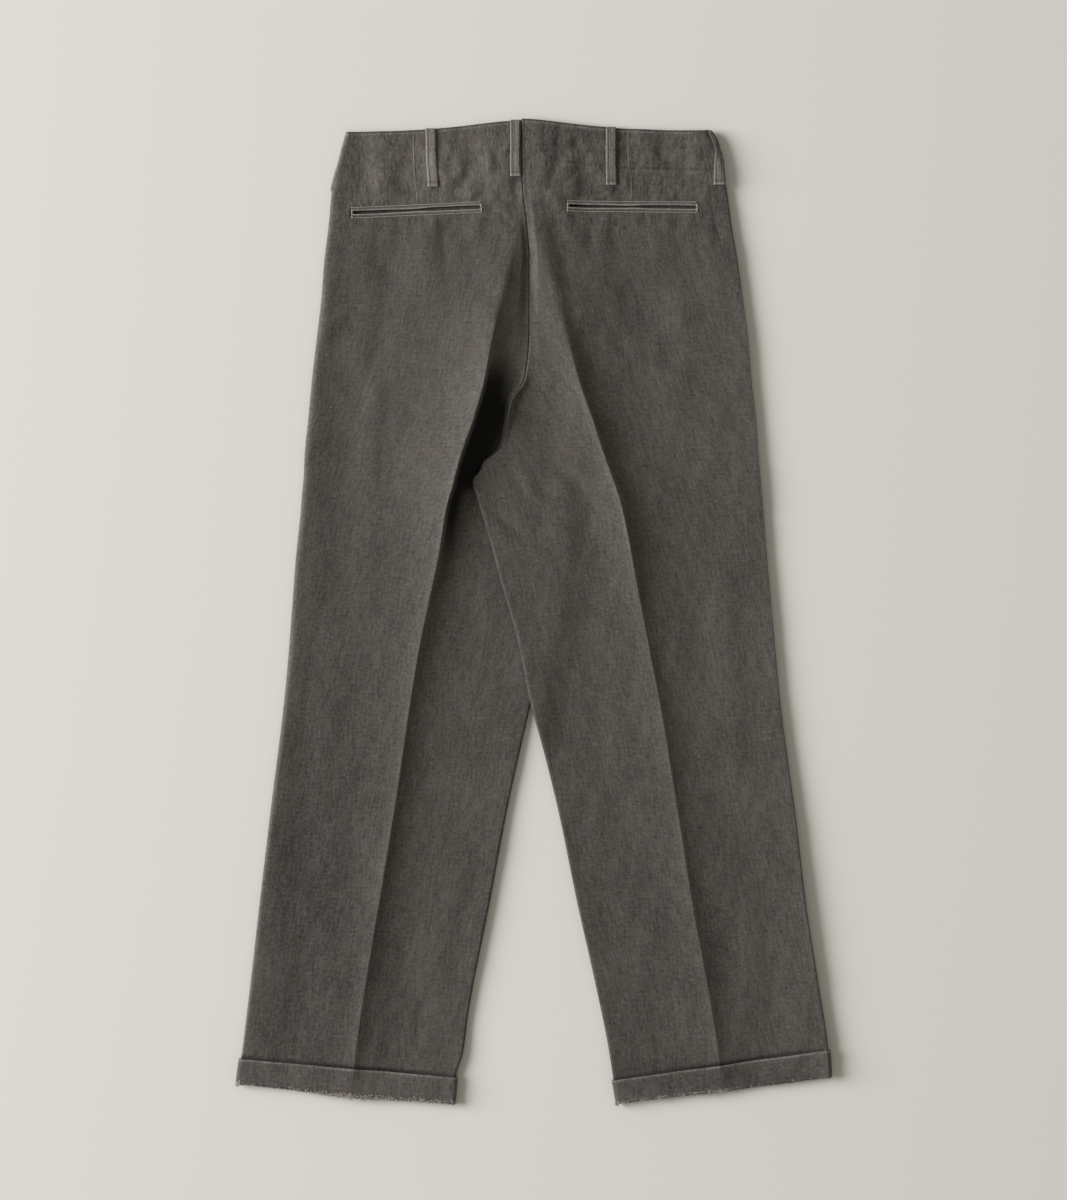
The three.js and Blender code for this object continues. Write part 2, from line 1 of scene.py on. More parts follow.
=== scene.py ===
# %% [markdown]
# # Field trousers laid flat with the back side up
# These are straight trousers of a heavy, slubby cotton, pressed with a crease down each leg and worn
# with turned-up cuffs. They lie on a pale floor and are seen from straight above. The lesson builds
# each cut piece as a fine sheet of cloth, and then sews, wears and lights it.
#
# The imported model is loaded first, as a fixed frame.

# %% Load the frame
import math
from functools import partial
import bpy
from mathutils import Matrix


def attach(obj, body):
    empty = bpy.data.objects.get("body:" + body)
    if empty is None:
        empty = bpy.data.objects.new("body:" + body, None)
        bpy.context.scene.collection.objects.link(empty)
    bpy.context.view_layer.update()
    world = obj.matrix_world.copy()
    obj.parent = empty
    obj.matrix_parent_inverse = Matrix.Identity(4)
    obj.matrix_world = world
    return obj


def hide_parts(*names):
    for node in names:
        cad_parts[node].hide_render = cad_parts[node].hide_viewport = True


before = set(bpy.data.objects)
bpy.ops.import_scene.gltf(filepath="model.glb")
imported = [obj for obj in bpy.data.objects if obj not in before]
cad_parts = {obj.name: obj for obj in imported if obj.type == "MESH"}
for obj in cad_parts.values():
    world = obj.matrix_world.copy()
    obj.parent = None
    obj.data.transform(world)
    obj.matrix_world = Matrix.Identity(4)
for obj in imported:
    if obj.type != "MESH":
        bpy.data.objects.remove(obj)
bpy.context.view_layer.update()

from types import SimpleNamespace

import bmesh
import bpy
import numpy as np
from mathutils import Matrix, Vector

MM = 0.001

# %% [markdown]
# ## Curves from short tables
# A tailor marks a leg by a few widths: at the waist, the seat, the thigh, the knee and the hem. The
# outline between them is a smooth curve. A spline object could hold it, but a function of the height
# is easier to reuse for several edges, so each column of a table becomes one curve. All sizes in the
# tables are millimetres, with x across, y towards the waist and z up.

# %% Small helpers for mixing and for smooth curves
def mix(a, b, t):
    return a + (b - a) * t


def ramp(start, end, t):
    share = np.clip((t - start) / (end - start), 0, 1)
    return share * share * (3 - 2 * share)


def bell(off, width):
    """1 where off is 0, and almost nothing from two widths away."""
    return np.exp(-((off / width) ** 2))


def fade(away, reach):
    """1 where away is 0, and less on both sides of it."""
    return np.exp(-np.abs(away) / reach)


def quarter_turn(t):
    """How far a fold of radius 1 has come inwards, t of the way round a quarter of it."""
    return 1 - np.cos(np.clip(t, 0, 1) * math.pi / 2)


def monotone(xs, ys):
    """A smooth curve through the points (xs, ys) that never overshoots them."""
    slopes = np.diff(ys) / np.diff(xs)
    before, after = slopes[:-1], slopes[1:]
    agree = before * after > 0
    middle = np.where(agree, 2 * before * after / np.where(agree, before + after, 1), 0)
    tangents = np.concatenate([slopes[:1], middle, slopes[-1:]])

    def at(x):
        x = np.clip(x, xs[0], xs[-1])
        k = np.clip(np.searchsorted(xs, x, "right") - 1, 0, len(xs) - 2)
        span = xs[k + 1] - xs[k]
        t = (x - xs[k]) / span
        ends = ys[k] * (1 + 2 * t) * (1 - t) ** 2 + ys[k + 1] * (3 - 2 * t) * t**2
        return ends + span * t * (1 - t) * (tangents[k] * (1 - t) - tangents[k + 1] * t)

    return at


def curves(columns, rows):
    """One curve for each column of a table but the first, which all of them run along."""
    table = np.array(sorted(rows), float).T
    names = columns.split()[1:]
    return SimpleNamespace(**{n: monotone(table[0], table[k + 1]) for k, n in enumerate(names)})


# %% [markdown]
# ## The outline and the relief of the legs
# Laid flat, a leg is a tube pressed down: a side fold, a sharp crease where it was ironed, and the
# inseam fold. The seat seam runs down between the two backs to the crotch, and below it the right leg
# lies over the left one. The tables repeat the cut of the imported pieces, so that the fine cloth lies
# on them.

# %% Plan of the seat and of both legs
CLOTH = 1.2
WAIST_PEAK_X = -13
WAIST_PEAK = 13.3
WAIST_SPREAD = 85
CROTCH_Y = 143
CROTCH_BLEND = 24
OVERLAP_LIFT = 6.2
OVERLAP_SLOPE = 45
LIFT_END_Y = 232
FLY_WIDTH = 38
FLY_GAP = 0.36
FLY_TOP_Y = 376
FLY_END_Y = 344
FLY_SLOPE = 25
FOLD_REACH = 30

seat = curves("y x left right", [
    [531, -13, 6.2, 6.6], [467, -12, 6, 6.4], [413, -6.5, 5.6, 6], [381, -4.5, 5.4, 5.8],
    [337, -4.5, 5.2, 5.4], [294, -5, 5.6, 5.6], [251, -10, 10, 10], [227, -25.5, 11.5, 11.5],
    [198, -30.3, 12, 12], [180, -34, 11, 11.5], [171, -42, 8, 11], [163, -54, 6, 10.5],
    [154, -57.5, 5, 9.8], [143, -66, 4.4, 8.8],
])
left_plan = curves("y outer crease inner", [
    [531, -198, -31, -13], [505, -206, -28, -13], [489, -210, -26, -13], [467, -216, -23, -13],
    [413, -221.5, -21, -13], [381, -225.5, -26.5, -13], [337, -229, -36, -13],
    [294, -234, -45, -13], [251, -239, -52.5, -30], [208, -243, -64, -60], [168, -247, -78, -66],
    [143, -248, -85, -66], [135, -249, -87, -48], [124, -250, -90.5, -18], [110, -251, -94, 8],
    [90, -253, -97.5, 24], [57, -256.5, -103, 29], [10, -260, -113, 21], [-30, -263, -121.5, 11],
    [-91, -268.5, -132, -1.5], [-209, -283, -149.5, -27.5], [-310, -295, -166, -46.5],
    [-431, -309, -186, -70], [-475, -314.5, -192, -76], [-500, -318.5, -194.5, -83.5],
    [-530, -321, -197, -85.5],
])
right_plan = curves("y outer crease inner", [
    [531, 181, 12, -13], [517, 190, 11, -13], [505, 196.5, 9.5, -13], [494, 200, 9, -13],
    [478, 204.5, 8.5, -13], [460, 208, 7.5, -13], [413, 214.5, 7.5, -13], [381, 220, 14, -13],
    [337, 226, 27.5, -13], [294, 231.5, 36.5, -13], [251, 235, 48, -30], [208, 240, 63, -60],
    [165, 243, 77, -66], [143, 245, 85, -66], [121, 247, 92.5, -60], [78, 250.5, 102, -47],
    [40, 253.5, 109, -37], [-30, 260, 122.5, -17], [-94, 266, 135, -4], [-159, 274.5, 146, 13.5],
    [-224, 283.5, 156.5, 29], [-310, 293.5, 170, 46.5], [-397, 307, 186, 66],
    [-462, 317, 197, 79.5], [-496, 320, 201, 85], [-530, 321.5, 204, 90.5],
])
right_wrap = curves("y wrap", [
    [531, 15], [440, 18], [400, 15], [350, 9], [300, 6], [-530, 5.5],
]).wrap

# %% Relief of both legs
# body is the thickness of the pressed tube and ridge the height of its crease. The crest is soft
# over so many millimetres, leans so far, and falls off within lit on its bright side and shade on
# the other. fold and inFold thicken the outer and the inner edge, and roll and inRoll round them.
left_relief = curves("y body fold roll ridge lit shade inFold inRoll lean soft", [
    [531, 5.4, 3, 5, 0, 40, 16, 0, 8, 0, 10], [460, 5.2, 3, 5, 0.6, 40, 12, 0, 8, 0, 10],
    [413, 5, 3, 5.5, 4, 40, 9, 0, 8, 0, 8], [381, 5, 3.4, 6, 9.5, 38, 12, 0, 9, 1, 8],
    [337, 5, 4, 6.5, 15, 36, 17, 0, 12, 2, 6], [294, 4.8, 4.6, 6.5, 19, 34, 13, 0, 12, 4, 4],
    [251, 4.6, 5, 6.5, 24, 32, 5, 0, 10, 8, 1.6], [208, 4.4, 5, 6.5, 26.5, 32, 4.5, 0, 3.5, 10, 0.8],
    [165, 4.4, 5, 6.5, 25.5, 32, 4.5, 0, 3, 9, 0.8], [121, 4.4, 5, 6.5, 22, 34, 4.5, 0.3, 4, 7, 0.8],
    [78, 4.4, 5, 6.5, 18, 36, 10, 0.3, 4, 4, 0.7], [35, 4.4, 5, 6.5, 14.5, 38, 12, 0.3, 4, 2, 0.7],
    [-30, 4.4, 5, 6, 13, 38, 15, 0.3, 3, 1, 0.7], [-80, 4.4, 5, 6, 12, 38, 15, 0.4, 3, 1, 0.7],
    [-150, 4.2, 5, 5, 10, 38, 14, 2.6, 3, 1, 0.7], [-310, 4.2, 5, 4.5, 10, 38, 13.5, 3, 3, 1, 0.7],
    [-461, 4.2, 4, 3, 8, 38, 14, 2.6, 3, 0, 0.7], [-488, 4.2, 3.6, 3, 6.4, 42, 13, 2.5, 3, 0, 0.9],
    [-508, 4.2, 3, 3, 2.8, 42, 13, 2.4, 3, 0, 3], [-530, 4.2, 3, 3, 1.8, 42, 13, 2.4, 3, 0, 4],
])
right_relief = curves("y body fold roll ridge lit shade inFold inRoll lean soft", [
    [531, 5.4, 4, 6, 0, 30, 30, 0, 8, 0, 14], [460, 5.2, 4.4, 4, 2, 30, 30, 0, 8, 0, 14],
    [413, 5, 4.4, 2.4, 8, 24, 34, 0, 9, 0, 14], [381, 5, 4.2, 1.8, 11, 26, 34, 0, 10, 0, 12],
    [337, 5, 4, 1.5, 13, 28, 24, 0, 10, 0, 9], [294, 5, 4, 1.3, 13.5, 28, 14, 0, 10, 0, 4.5],
    [251, 5, 4, 1.3, 15, 28, 12, 0, 10, 0, 1.8], [208, 5, 4, 1.3, 15, 28, 14, 0.5, 8, 1, 0.8],
    [165, 5, 4, 1.3, 15, 32, 14, 1, 6, 1, 0.8], [121, 5, 4, 1.3, 16, 36, 15, 2, 4.5, 1, 0.8],
    [78, 4.8, 4, 1.3, 16, 38, 14.5, 2, 4, 1, 0.7], [35, 4.7, 4, 1.3, 13, 40, 14, 2, 3.5, 1, 0.7],
    [-30, 4.6, 4.4, 1.5, 9.5, 38, 15, 2, 3, 1, 0.7], [-159, 4.4, 5.5, 2, 8.5, 38, 16, 2.4, 3, 1, 0.7],
    [-310, 4.2, 8, 2.6, 8.6, 38, 16, 3, 3, 1, 0.7], [-461, 4.2, 6, 2.6, 7.4, 38, 15.5, 2.6, 3, 0, 0.7],
    [-488, 4.2, 5, 3.6, 5.6, 40, 11, 2.5, 3, 0, 0.9], [-508, 4.2, 4.4, 3, 2.6, 40, 11, 2.4, 3, 0, 3],
    [-530, 4.2, 4, 3, 1.8, 40, 11, 2.4, 3, 0, 4],
])

# %% The two sides, with the ends of each cuff's top edge and bottom fold
CUFF_HEIGHT = 28
CUFF_SWELL_WIDTH = 60
CUFF_LIP = 2.4
CUFF_GAP = 0.5
CUFF_SLOPE = 56
CLEAR = 3

left = SimpleNamespace(
    sign=-1, waist_y=517.5, plan=left_plan, relief=left_relief, seat_z=seat.left,
    cuff_top=((-317.5, -481), (-82.5, -501.5), 0), cuff_fold=((-321.8, -508), (-84, -530.3), 3),
)
right = SimpleNamespace(
    sign=1, waist_y=519, plan=right_plan, relief=right_relief, seat_z=seat.right,
    cuff_top=((320, -471.5), (86.5, -504.5), 0), cuff_fold=((322, -500.6), (89, -529.7), 1),
)


def inner_x(side, y):
    return np.where(y >= CROTCH_Y, seat.x(y), side.plan.inner(y))


def folded_in(y):
    """0 along the seat seam and 1 where the inner edge is a rounded fold."""
    return 1 - ramp(CROTCH_Y, CROTCH_Y + CROTCH_BLEND, y)


def line_y(side, line, x):
    """The y at x of a line that dips by its swell where it crosses the crease."""
    (x0, y0), (x1, y1), swell = line
    straight = mix(y0, y1, (x - x0) / (x1 - x0))
    return straight - swell * bell(x - side.plan.crease(y1), CUFF_SWELL_WIDTH)


def waist_line(side, x):
    away = np.abs(x - WAIST_PEAK_X) / WAIST_SPREAD
    return side.waist_y + WAIST_PEAK * np.exp(-(away**1.6))


def hem_line(side, x):
    return line_y(side, side.cuff_fold, x) + CUFF_LIP


# %% [markdown]
# ## The lie of the cloth
# Cloth laid on a floor rests on it, climbs over what is under it and comes down again. One function
# gives the height of the layer underneath and one the thickness of the pressed tube on it. Sculpting
# by hand could do the same, but a function can also place what is sewn on the cloth.

# %% Height of the outside of the front, and thickness of the tube
def under_edge(y):
    """Where what lies under the right leg ends: the fly above, the left leg below the crotch."""
    fly_edge = seat.x(y) + FLY_WIDTH + 2
    leg_edge = left_plan.inner(np.minimum(y, 90))
    return mix(leg_edge, fly_edge, ramp(CROTCH_Y + 40, FLY_END_Y - 40, y))


def floor_z(side, x, y):
    above_cuff = y - line_y(side, side.cuff_top, x)
    over_cuff = (CLOTH + CUFF_GAP) * (1 - ramp(CLEAR, CLEAR + CUFF_SLOPE, above_cuff))
    if side is left:
        return over_cuff
    past = x - under_edge(y)
    over_leg = OVERLAP_LIFT * (1 - ramp(CLEAR, OVERLAP_SLOPE, past))
    up_to_crotch = 1 - ramp(CROTCH_Y + 15, LIFT_END_Y, y)
    over_fly = (CLOTH + FLY_GAP) * (1 - ramp(CLEAR, FLY_SLOPE, past))
    return over_cuff + over_leg * up_to_crotch + over_fly * ramp(FLY_END_Y - 40, FLY_END_Y - 8, y)


def ridge_share(side, x, y):
    """1 on the crease and less away from it, quickly on the side away from the light."""
    away = x - side.plan.crease(y) + side.relief.lean(y)
    fall = np.where(away < 0, side.relief.lit(y), side.relief.shade(y))
    soft = side.relief.soft(y)
    return np.exp(-(np.sqrt(away * away + soft * soft) - soft) / fall)


def thickness(side, x, y):
    relief = side.relief
    outer_fold = relief.fold(y) * fade(x - side.plan.outer(y), FOLD_REACH)
    inner_fold = relief.inFold(y) * fade(x - inner_x(side, y), FOLD_REACH)
    return relief.body(y) + outer_fold + inner_fold + relief.ridge(y) * ridge_share(side, x, y)


def rounded(away, roll):
    return np.sqrt(np.clip(1 - np.clip((roll - away) / roll, 0, 1) ** 2, 0, 1))


def edge_shares(side, x, y):
    outer_share = rounded(np.abs(x - side.plan.outer(y)), side.relief.roll(y))
    away = np.abs(x - inner_x(side, y))
    roll = side.relief.inRoll(y)
    inner_share = mix(ramp(0, 1, away / roll), rounded(away, roll), folded_in(y))
    return outer_share, inner_share


# %% [markdown]
# ## Creases placed one by one
# Worn cotton keeps soft folds where the body bends it. A cloth simulation would give folds, but not
# these ones, so each main fold is one row: its two ends, its width and its depth, with a trough
# below zero and a ridge above it. Fine puckers along the sewn edges are waves that fade out.

# %% Table of the main folds
FOLDS = [
    # x0, y0, x1, y1, width, height
    (-196, 330, -212, -40, 20, -1.4),  # long shallow trough inside the left side fold
    (-165, 300, -185, 80, 16, 1.0),
    (-232, -60, -262, -330, 18, -1.0),
    (-205, 60, -232, -180, 14, 0.9),
    (-150, 395, -172, 240, 13, -1.2),
    (-110, 400, -104, 300, 12, 1.0),
    (-70, 405, -62, 330, 10, -0.9),
    (-52, 470, -50, 400, 9, -1.0),
    (-165, 480, -150, 452, 12, 1.0),
    (-185, 500, -178, 455, 9, -0.9),
    (-88, 500, -80, 455, 10, 1.1),
    (-58, 505, -42, 478, 9, 1.0),
    (-45, 500, -36, 470, 6, -1.1),
    (-172, 420, -168, 372, 6, -0.8),
    (-100, 418, -94, 372, 5, -0.8),
    (-146, 420, -143, 385, 4, -0.5),
    (30, 506, 24, 470, 7, -1.1),
    (40, 500, 38, 452, 8, 1.1),
    (62, 512, 60, 470, 9, -0.9),
    (125, 505, 122, 470, 10, 1.0),
    (150, 500, 144, 474, 6, -1.1),
    (168, 505, 165, 470, 9, 0.8),
    (30, 452, 48, 430, 9, 0.9),
    (60, 455, 74, 436, 6, -0.8),
    (140, 452, 160, 446, 6, -0.7),
    (18, 440, 42, 330, 12, -2.4),  # the soft dark band beside the right crease
    (30, 345, 62, 262, 10, -1.6),
    (104, 352, 126, 298, 18, -3.0),  # dent beside the seat
    (10, 238, 30, 150, 22, -2.4),  # hollow between the seat seam and the crease
    (66, 322, 92, 262, 10, 0.8),
    (110, 300, 150, 240, 14, 0.9),
    (8, 176, 58, 124, 9, -1.8),  # drag lines that run from the crotch across the thigh
    (-34, 164, -10, 130, 4, -1.2),
    (-46, 172, -28, 158, 3, 0.9),
    (-44, 168, -10, 159, 4, 1.1),
    (-20, 156, 4, 126, 4, 1.0),
    (-48, 113, -12, 82, 5, -2.0),
    (-40, 132, 6, 100, 7, 0.9),
    (-20, 215, 34, 196, 7, -0.9),
    (-6, 262, 30, 252, 6, 0.9),
    (-20, 150, 40, 70, 12, 0.7),
    (6, 118, 40, 20, 14, -0.4),
    (170, 120, 176, -120, 16, -0.9),
    (205, 60, 222, -200, 14, 0.9),
    (176, 420, 182, 360, 6, -1.0),
    (196, 440, 200, 400, 5, -0.8),
    (60, 415, 66, 380, 5, -0.8),
    (84, 422, 86, 392, 4, -0.5),
    (130, 415, 134, 372, 6, 0.8),
    (60, -60, 92, -220, 15, -0.8),
    (240, -250, 262, -420, 14, -0.8),
    (-70, -250, -110, -400, 14, 0.7),
    (-120, -420, -126, -470, 8, -0.8),
    (150, -420, 158, -462, 8, -0.8),
]


# %% Short wrinkles that wear left all over the waist and the hips
def short_folds(picks, count, xs, ys, lengths, widths, heights, turned=0.4):
    rows = []
    for _ in range(count):
        x, y, reach = picks.uniform(*xs), picks.uniform(*ys), picks.uniform(*lengths)
        lean = picks.normal(0, turned)
        height = picks.choice([-1, 1]) * picks.uniform(*heights)
        end = (x + reach * math.sin(lean), y - reach * math.cos(lean))
        rows.append((x, y, *end, picks.uniform(*widths), height))
    return rows


picks = np.random.default_rng(5)
FOLDS += short_folds(picks, 50, (-208, -10), (436, 512), (10, 34), (3.6, 7), (0.4, 1.0))
FOLDS += short_folds(picks, 50, (0, 200), (436, 512), (10, 26), (3.6, 8), (0.4, 1.1), 1.0)
FOLDS += short_folds(picks, 50, (-228, 228), (225, 415), (30, 80), (6, 12), (0.3, 0.75))
print("folds", len(FOLDS))
FOLD_STRENGTH = 1.55


def fold_height(x, y):
    total = np.zeros_like(x)
    for x0, y0, x1, y1, width, height in FOLDS:
        dx, dy = x1 - x0, y1 - y0
        length = math.hypot(dx, dy)
        along = ((x - x0) * dx + (y - y0) * dy) / length**2
        off = ((x - x0) * dy - (y - y0) * dx) / length
        ends = ramp(-0.18, 0.3, along) * (1 - ramp(0.7, 1.18, along))
        total += height * ends * bell(off, width)
    return FOLD_STRENGTH * total


# %% Waves for the creeping of worn cloth and for the puckers along a sewn edge
WAVE_SLOPE = 0.0021
WAVE_STRETCH = 0.55
rng = np.random.default_rng(12)
WAVES = [
    (rng.uniform(14, 60), rng.uniform(0, math.tau), rng.uniform(0, math.tau)) for _ in range(26)
]


def crumple(x, y):
    total = np.zeros_like(x)
    for length, heading, phase in WAVES:
        across = x * math.cos(heading) + WAVE_STRETCH * y * math.sin(heading)
        total += WAVE_SLOPE * length * np.sin(across * math.tau / length + phase)
    return total * (1 + 1.3 * ramp(380, 450, y))


def puckers(x, below_waist):
    """Short ripples under the stitched waist edge, where the facing is sewn in."""
    shown = ramp(2, 9, below_waist) * (1 - ramp(16, 40, below_waist))
    ripple = np.sin(x / 2.9 + 1.3 * np.sin(x / 17)) + 1.2 * np.sin(x / 5.3 + 2 * np.sin(x / 31))
    return 0.3 * shown * ripple * (0.6 + 0.5 * np.sin(x / 23 + 1))


FACING_DEPTH = 42


def facing_edge(x, below_waist):
    """The facing inside ends here, and its edge shows as a slight step through the cloth."""
    step = (below_waist - FACING_DEPTH + 1.2 * np.sin(x / 19)) / 1.3
    depth = 0.4 + 0.7 * ramp(20, 40, x)
    return depth * (bell(step + 1, 1) - bell(step - 1, 1))


# %% Pockets and seams press their own line into the cloth
POCKET_LENGTH = 141
POCKET_HEIGHT = 10.8
pockets = {
    "left": SimpleNamespace(side=left, x=-126, y=434, angle=math.radians(2.6)),
    "right": SimpleNamespace(side=right, x=106.5, y=437.5, angle=math.radians(-0.5)),
}
for pocket in pockets.values():
    pocket.side.pocket = pocket


def pocket_frame(pocket, x, y):
    """A point as it lies along and across a pocket."""
    c, s = math.cos(pocket.angle), math.sin(pocket.angle)
    dx, dy = x - pocket.x, y - pocket.y
    return dx * c + dy * s, dy * c - dx * s


def pocket_puckers(side, x, y):
    """Ripples under a pocket, where its lower welt is sewn in."""
    along, across = pocket_frame(side.pocket, x, y)
    inside = 1 - ramp(POCKET_LENGTH / 2 - 4, POCKET_LENGTH / 2 + 6, np.abs(along))
    below = ramp(6, 10, -across) * (1 - ramp(14, 34, -across))
    ripple = np.sin(along / 3.1 + 1.7 * np.sin(along / 21)) + 0.5 * np.sin(along / 6.7)
    return 0.4 * inside * below * ripple


def beside_pocket(side, x, y):
    """1 where a pocket is sewn in and holds the cloth flat."""
    along, across = pocket_frame(side.pocket, x, y)
    beyond_ends = ramp(POCKET_LENGTH / 2 + 9, POCKET_LENGTH / 2, np.abs(along))
    return beyond_ends * ramp(15, 7, np.abs(across))


def seam_roll(side, x, y):
    """Beside the seat seam the seam allowances make a low welt, with a groove on the seam itself."""
    away = np.abs(x - inner_x(side, y))
    open_seam = 1 - folded_in(y)
    groove = -0.9 * bell(away, 0.6)
    welt = (0.5 if side is right else 0.15) * bell(away - 1.6, 1.1)
    return open_seam * (groove + welt * ramp(195, 240, y))


POCKET_HOLD = 0.85
EDGE_CALM = 0.8
SPARE_ROOM = 0.3


def top_z(side, x, y, wrinkled=1.0):
    """The outside of a back, in millimetres over the floor, with all its wrinkles or a share."""
    thick = thickness(side, x, y)
    floor = floor_z(side, x, y)
    outer_share, inner_share = edge_shares(side, x, y)
    open_height = thick * (0.5 + 0.5 * outer_share)
    edge = mix(side.seat_z(y) - floor, thick / 2, folded_in(y))
    below_waist = waist_line(side, x) - y
    calm = outer_share * mix(1, inner_share, EDGE_CALM)
    detail = fold_height(x, y) + crumple(x, y) + puckers(x, below_waist)
    detail = (detail + facing_edge(x, below_waist)) * (1 - POCKET_HOLD * beside_pocket(side, x, y))
    detail = (detail + pocket_puckers(side, x, y)) * wrinkled
    # No dent goes deeper than the front that lies underneath.
    room = thick - 2 * CLOTH - SPARE_ROOM
    detail = np.where(detail < 0, room * np.tanh(detail / room), detail)
    return floor + mix(edge, open_height, inner_share) + detail * calm + seam_roll(side, x, y)


def bottom_z(side, x, y):
    """The outside of a front, which lies underneath."""
    half = thickness(side, x, y) / 2
    outer_share, inner_share = edge_shares(side, x, y)
    curl = half * (1 - outer_share) + half * (1 - inner_share) * folded_in(y)
    return floor_z(side, x, y) + curl


# %% [markdown]
# ## Sheets from grids
# A cut piece is one sheet, so it starts as a grid. Its two directions become the width of the piece
# and its length, and the heights come from the functions above. The wall is given by a Solidify
# modifier, because that keeps the outside exactly where it was put. Each point also keeps where it
# lay on the flat cloth, for the weave, how worn it is with the light and shade painted on it, and
# its wide patches of tone with painted light and shade.

# %% Wide patches of lighter or darker cloth: some are the wash's mottling, some painted light and shade
DYE_AND_PAINTED_LIGHT = [
    # x, y, reach across, reach along, how much lighter
    (-120, 482, 85, 48, 0.43),
    (-50, 470, 40, 55, 0.15),
    (205, 380, 14, 60, -0.08),
    (150, 482, 60, 40, 0.06),
    (8, 355, 14, 55, 0.16),
    (-22, 285, 14, 36, 0.26),
    (-90, 270, 80, 110, 0.07),
    (-170, 270, 50, 110, 0.05),
    (175, 330, 45, 90, 0.09),
    (-210, -60, 60, 110, -0.05),
    (-240, -330, 75, 190, -0.21),
    (140, -350, 60, 120, -0.11),
    (-225, 150, 16, 260, -0.06),
    (205, -505, 140, 22, -0.20),
    # painted light on the shade side of the right crease
    (154, -130, 14, 90, 0.08),
    # painted light high in the fold beside the left crease
    (-28, 322, 9, 40, 0.14),
    (28, 370, 12, 30, 0.06),
    (76, 316, 12, 30, 0.09),
    (118, 324, 18, 30, -0.09),
]


def dye_and_painted_light_at(x, y):
    total = np.zeros_like(x)
    for px, py, across, along, lighter in DYE_AND_PAINTED_LIGHT:
        total += lighter * np.exp(-(((x - px) / across) ** 2) - ((y - py) / along) ** 2)
    return total


# %% Build one sheet of cloth from a grid
def sheet_grid(across, along):
    """A grid with u and v from 0 to 1 at its vertices."""
    bm = bmesh.new()
    bmesh.ops.create_grid(bm, x_segments=across, y_segments=along, size=0.5)
    uv = np.array([(v.co.x + 0.5, v.co.y + 0.5) for v in bm.verts])
    return bm, uv[:, 0], uv[:, 1]


def lay(bm, x, y, z, flat_x, flat_y, wear_and_painted_light):
    """Move a grid's points to their places, in millimetres, and keep flat, wear with painted light, and
    dye with painted light on them.
    """
    flat_layer = bm.verts.layers.float_vector.new("flat")
    wear_and_painted_light_layer = bm.verts.layers.float.new("wear_and_painted_light")
    dye_and_painted_light_layer = bm.verts.layers.float.new("dye_and_painted_light")
    rows = np.stack(np.broadcast_arrays(x, y, z, flat_x, flat_y, wear_and_painted_light, dye_and_painted_light_at(x, y)), axis=1)
    for vert, (px, py, pz, fx, fy, w, d) in zip(bm.verts, rows):
        vert.co = (px * MM, py * MM, pz * MM)
        vert[flat_layer] = (fx * MM, fy * MM, 0)
        vert[wear_and_painted_light_layer] = w
        vert[dye_and_painted_light_layer] = d


def piece_from(bm, name, material, thick=None):
    """Turn a bmesh into a finished piece that rides on the one body."""
    mesh = bpy.data.meshes.new(name)
    bm.to_mesh(mesh)
    bm.free()
    mesh.shade_smooth()
    piece = bpy.data.objects.new(name, mesh)
    bpy.context.collection.objects.link(piece)
    mesh.materials.append(material)
    if thick:
        wall = piece.modifiers.new("wall", "SOLIDIFY")
        wall.thickness = thick * MM
        wall.offset = -1
    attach(piece, "root")
    return piece


def flat_area(piece):
    """The outside area of a sheet in square metres, before its wall is added."""
    return sum(p.area for p in piece.data.polygons)


# %% [markdown]
# ## Cloth as a material
# The cotton is woven from uneven yarn, so it has short lighter and darker streaks along the leg, a
# fine grain from the weave and a washed, mottled tone over the whole. An image could show that, but
# noise in the cloth's own coordinates follows each fold and never repeats. Maths on values is written
# as plain sums, with one small class that adds the Math nodes.

# %% Write shader maths as sums
class Socket:
    """One output of a node, which can stand in a sum."""

    def __init__(self, finish, output):
        self.finish = finish
        self.output = output

    def maths(self, operation, a, b):
        return self.finish.node("ShaderNodeMath", {"operation": operation}, {0: a, 1: b})

    def __add__(self, other):
        return self.maths("ADD", self, other)

    def __sub__(self, other):
        return self.maths("SUBTRACT", self, other)

    def __rsub__(self, other):
        return self.maths("SUBTRACT", other, self)

    def __mul__(self, other):
        return self.maths("MULTIPLY", self, other)

    def __abs__(self):
        return self.maths("ABSOLUTE", self, 0.0)

    __radd__ = __add__
    __rmul__ = __mul__


class Finish:
    """A material and the one method that adds a node to it."""

    def __init__(self, name):
        self.material = bpy.data.materials.new(name)
        self.material.use_nodes = True
        self.tree = self.material.node_tree
        self.shader = self.tree.nodes["Principled BSDF"]

    def node(self, kind, settings, inputs, output=0):
        added = self.tree.nodes.new(kind)
        for name, value in settings.items():
            setattr(added, name, value)
        for name, value in inputs.items():
            self.set(added.inputs[name], value)
        return Socket(self, added.outputs[output])

    def set(self, target, value):
        if isinstance(value, Socket):
            self.tree.links.new(value.output, target)
        else:
            target.default_value = value

    def finish(self, **inputs):
        for name, value in inputs.items():
            self.set(self.shader.inputs[name.replace("_", " ")], value)
        return self.material


# %% Parts of a cloth finish that every fabric here shares
def noise_at(finish, place, size_x, size_y, detail=2.0, offset=0.0):
    """Noise whose grains are size_x by size_y millimetres on the flat cloth, about -0.5 to 0.5."""
    scale = (1000 / size_x, 1000 / size_y, 1)
    moved = {"Vector": place, "Location": (offset, offset, 0), "Scale": scale}
    stretched = finish.node("ShaderNodeMapping", {}, moved)
    values = {"Vector": stretched, "Scale": 1, "Detail": detail}
    return finish.node("ShaderNodeTexNoise", {"noise_dimensions": "2D"}, values) - 0.5


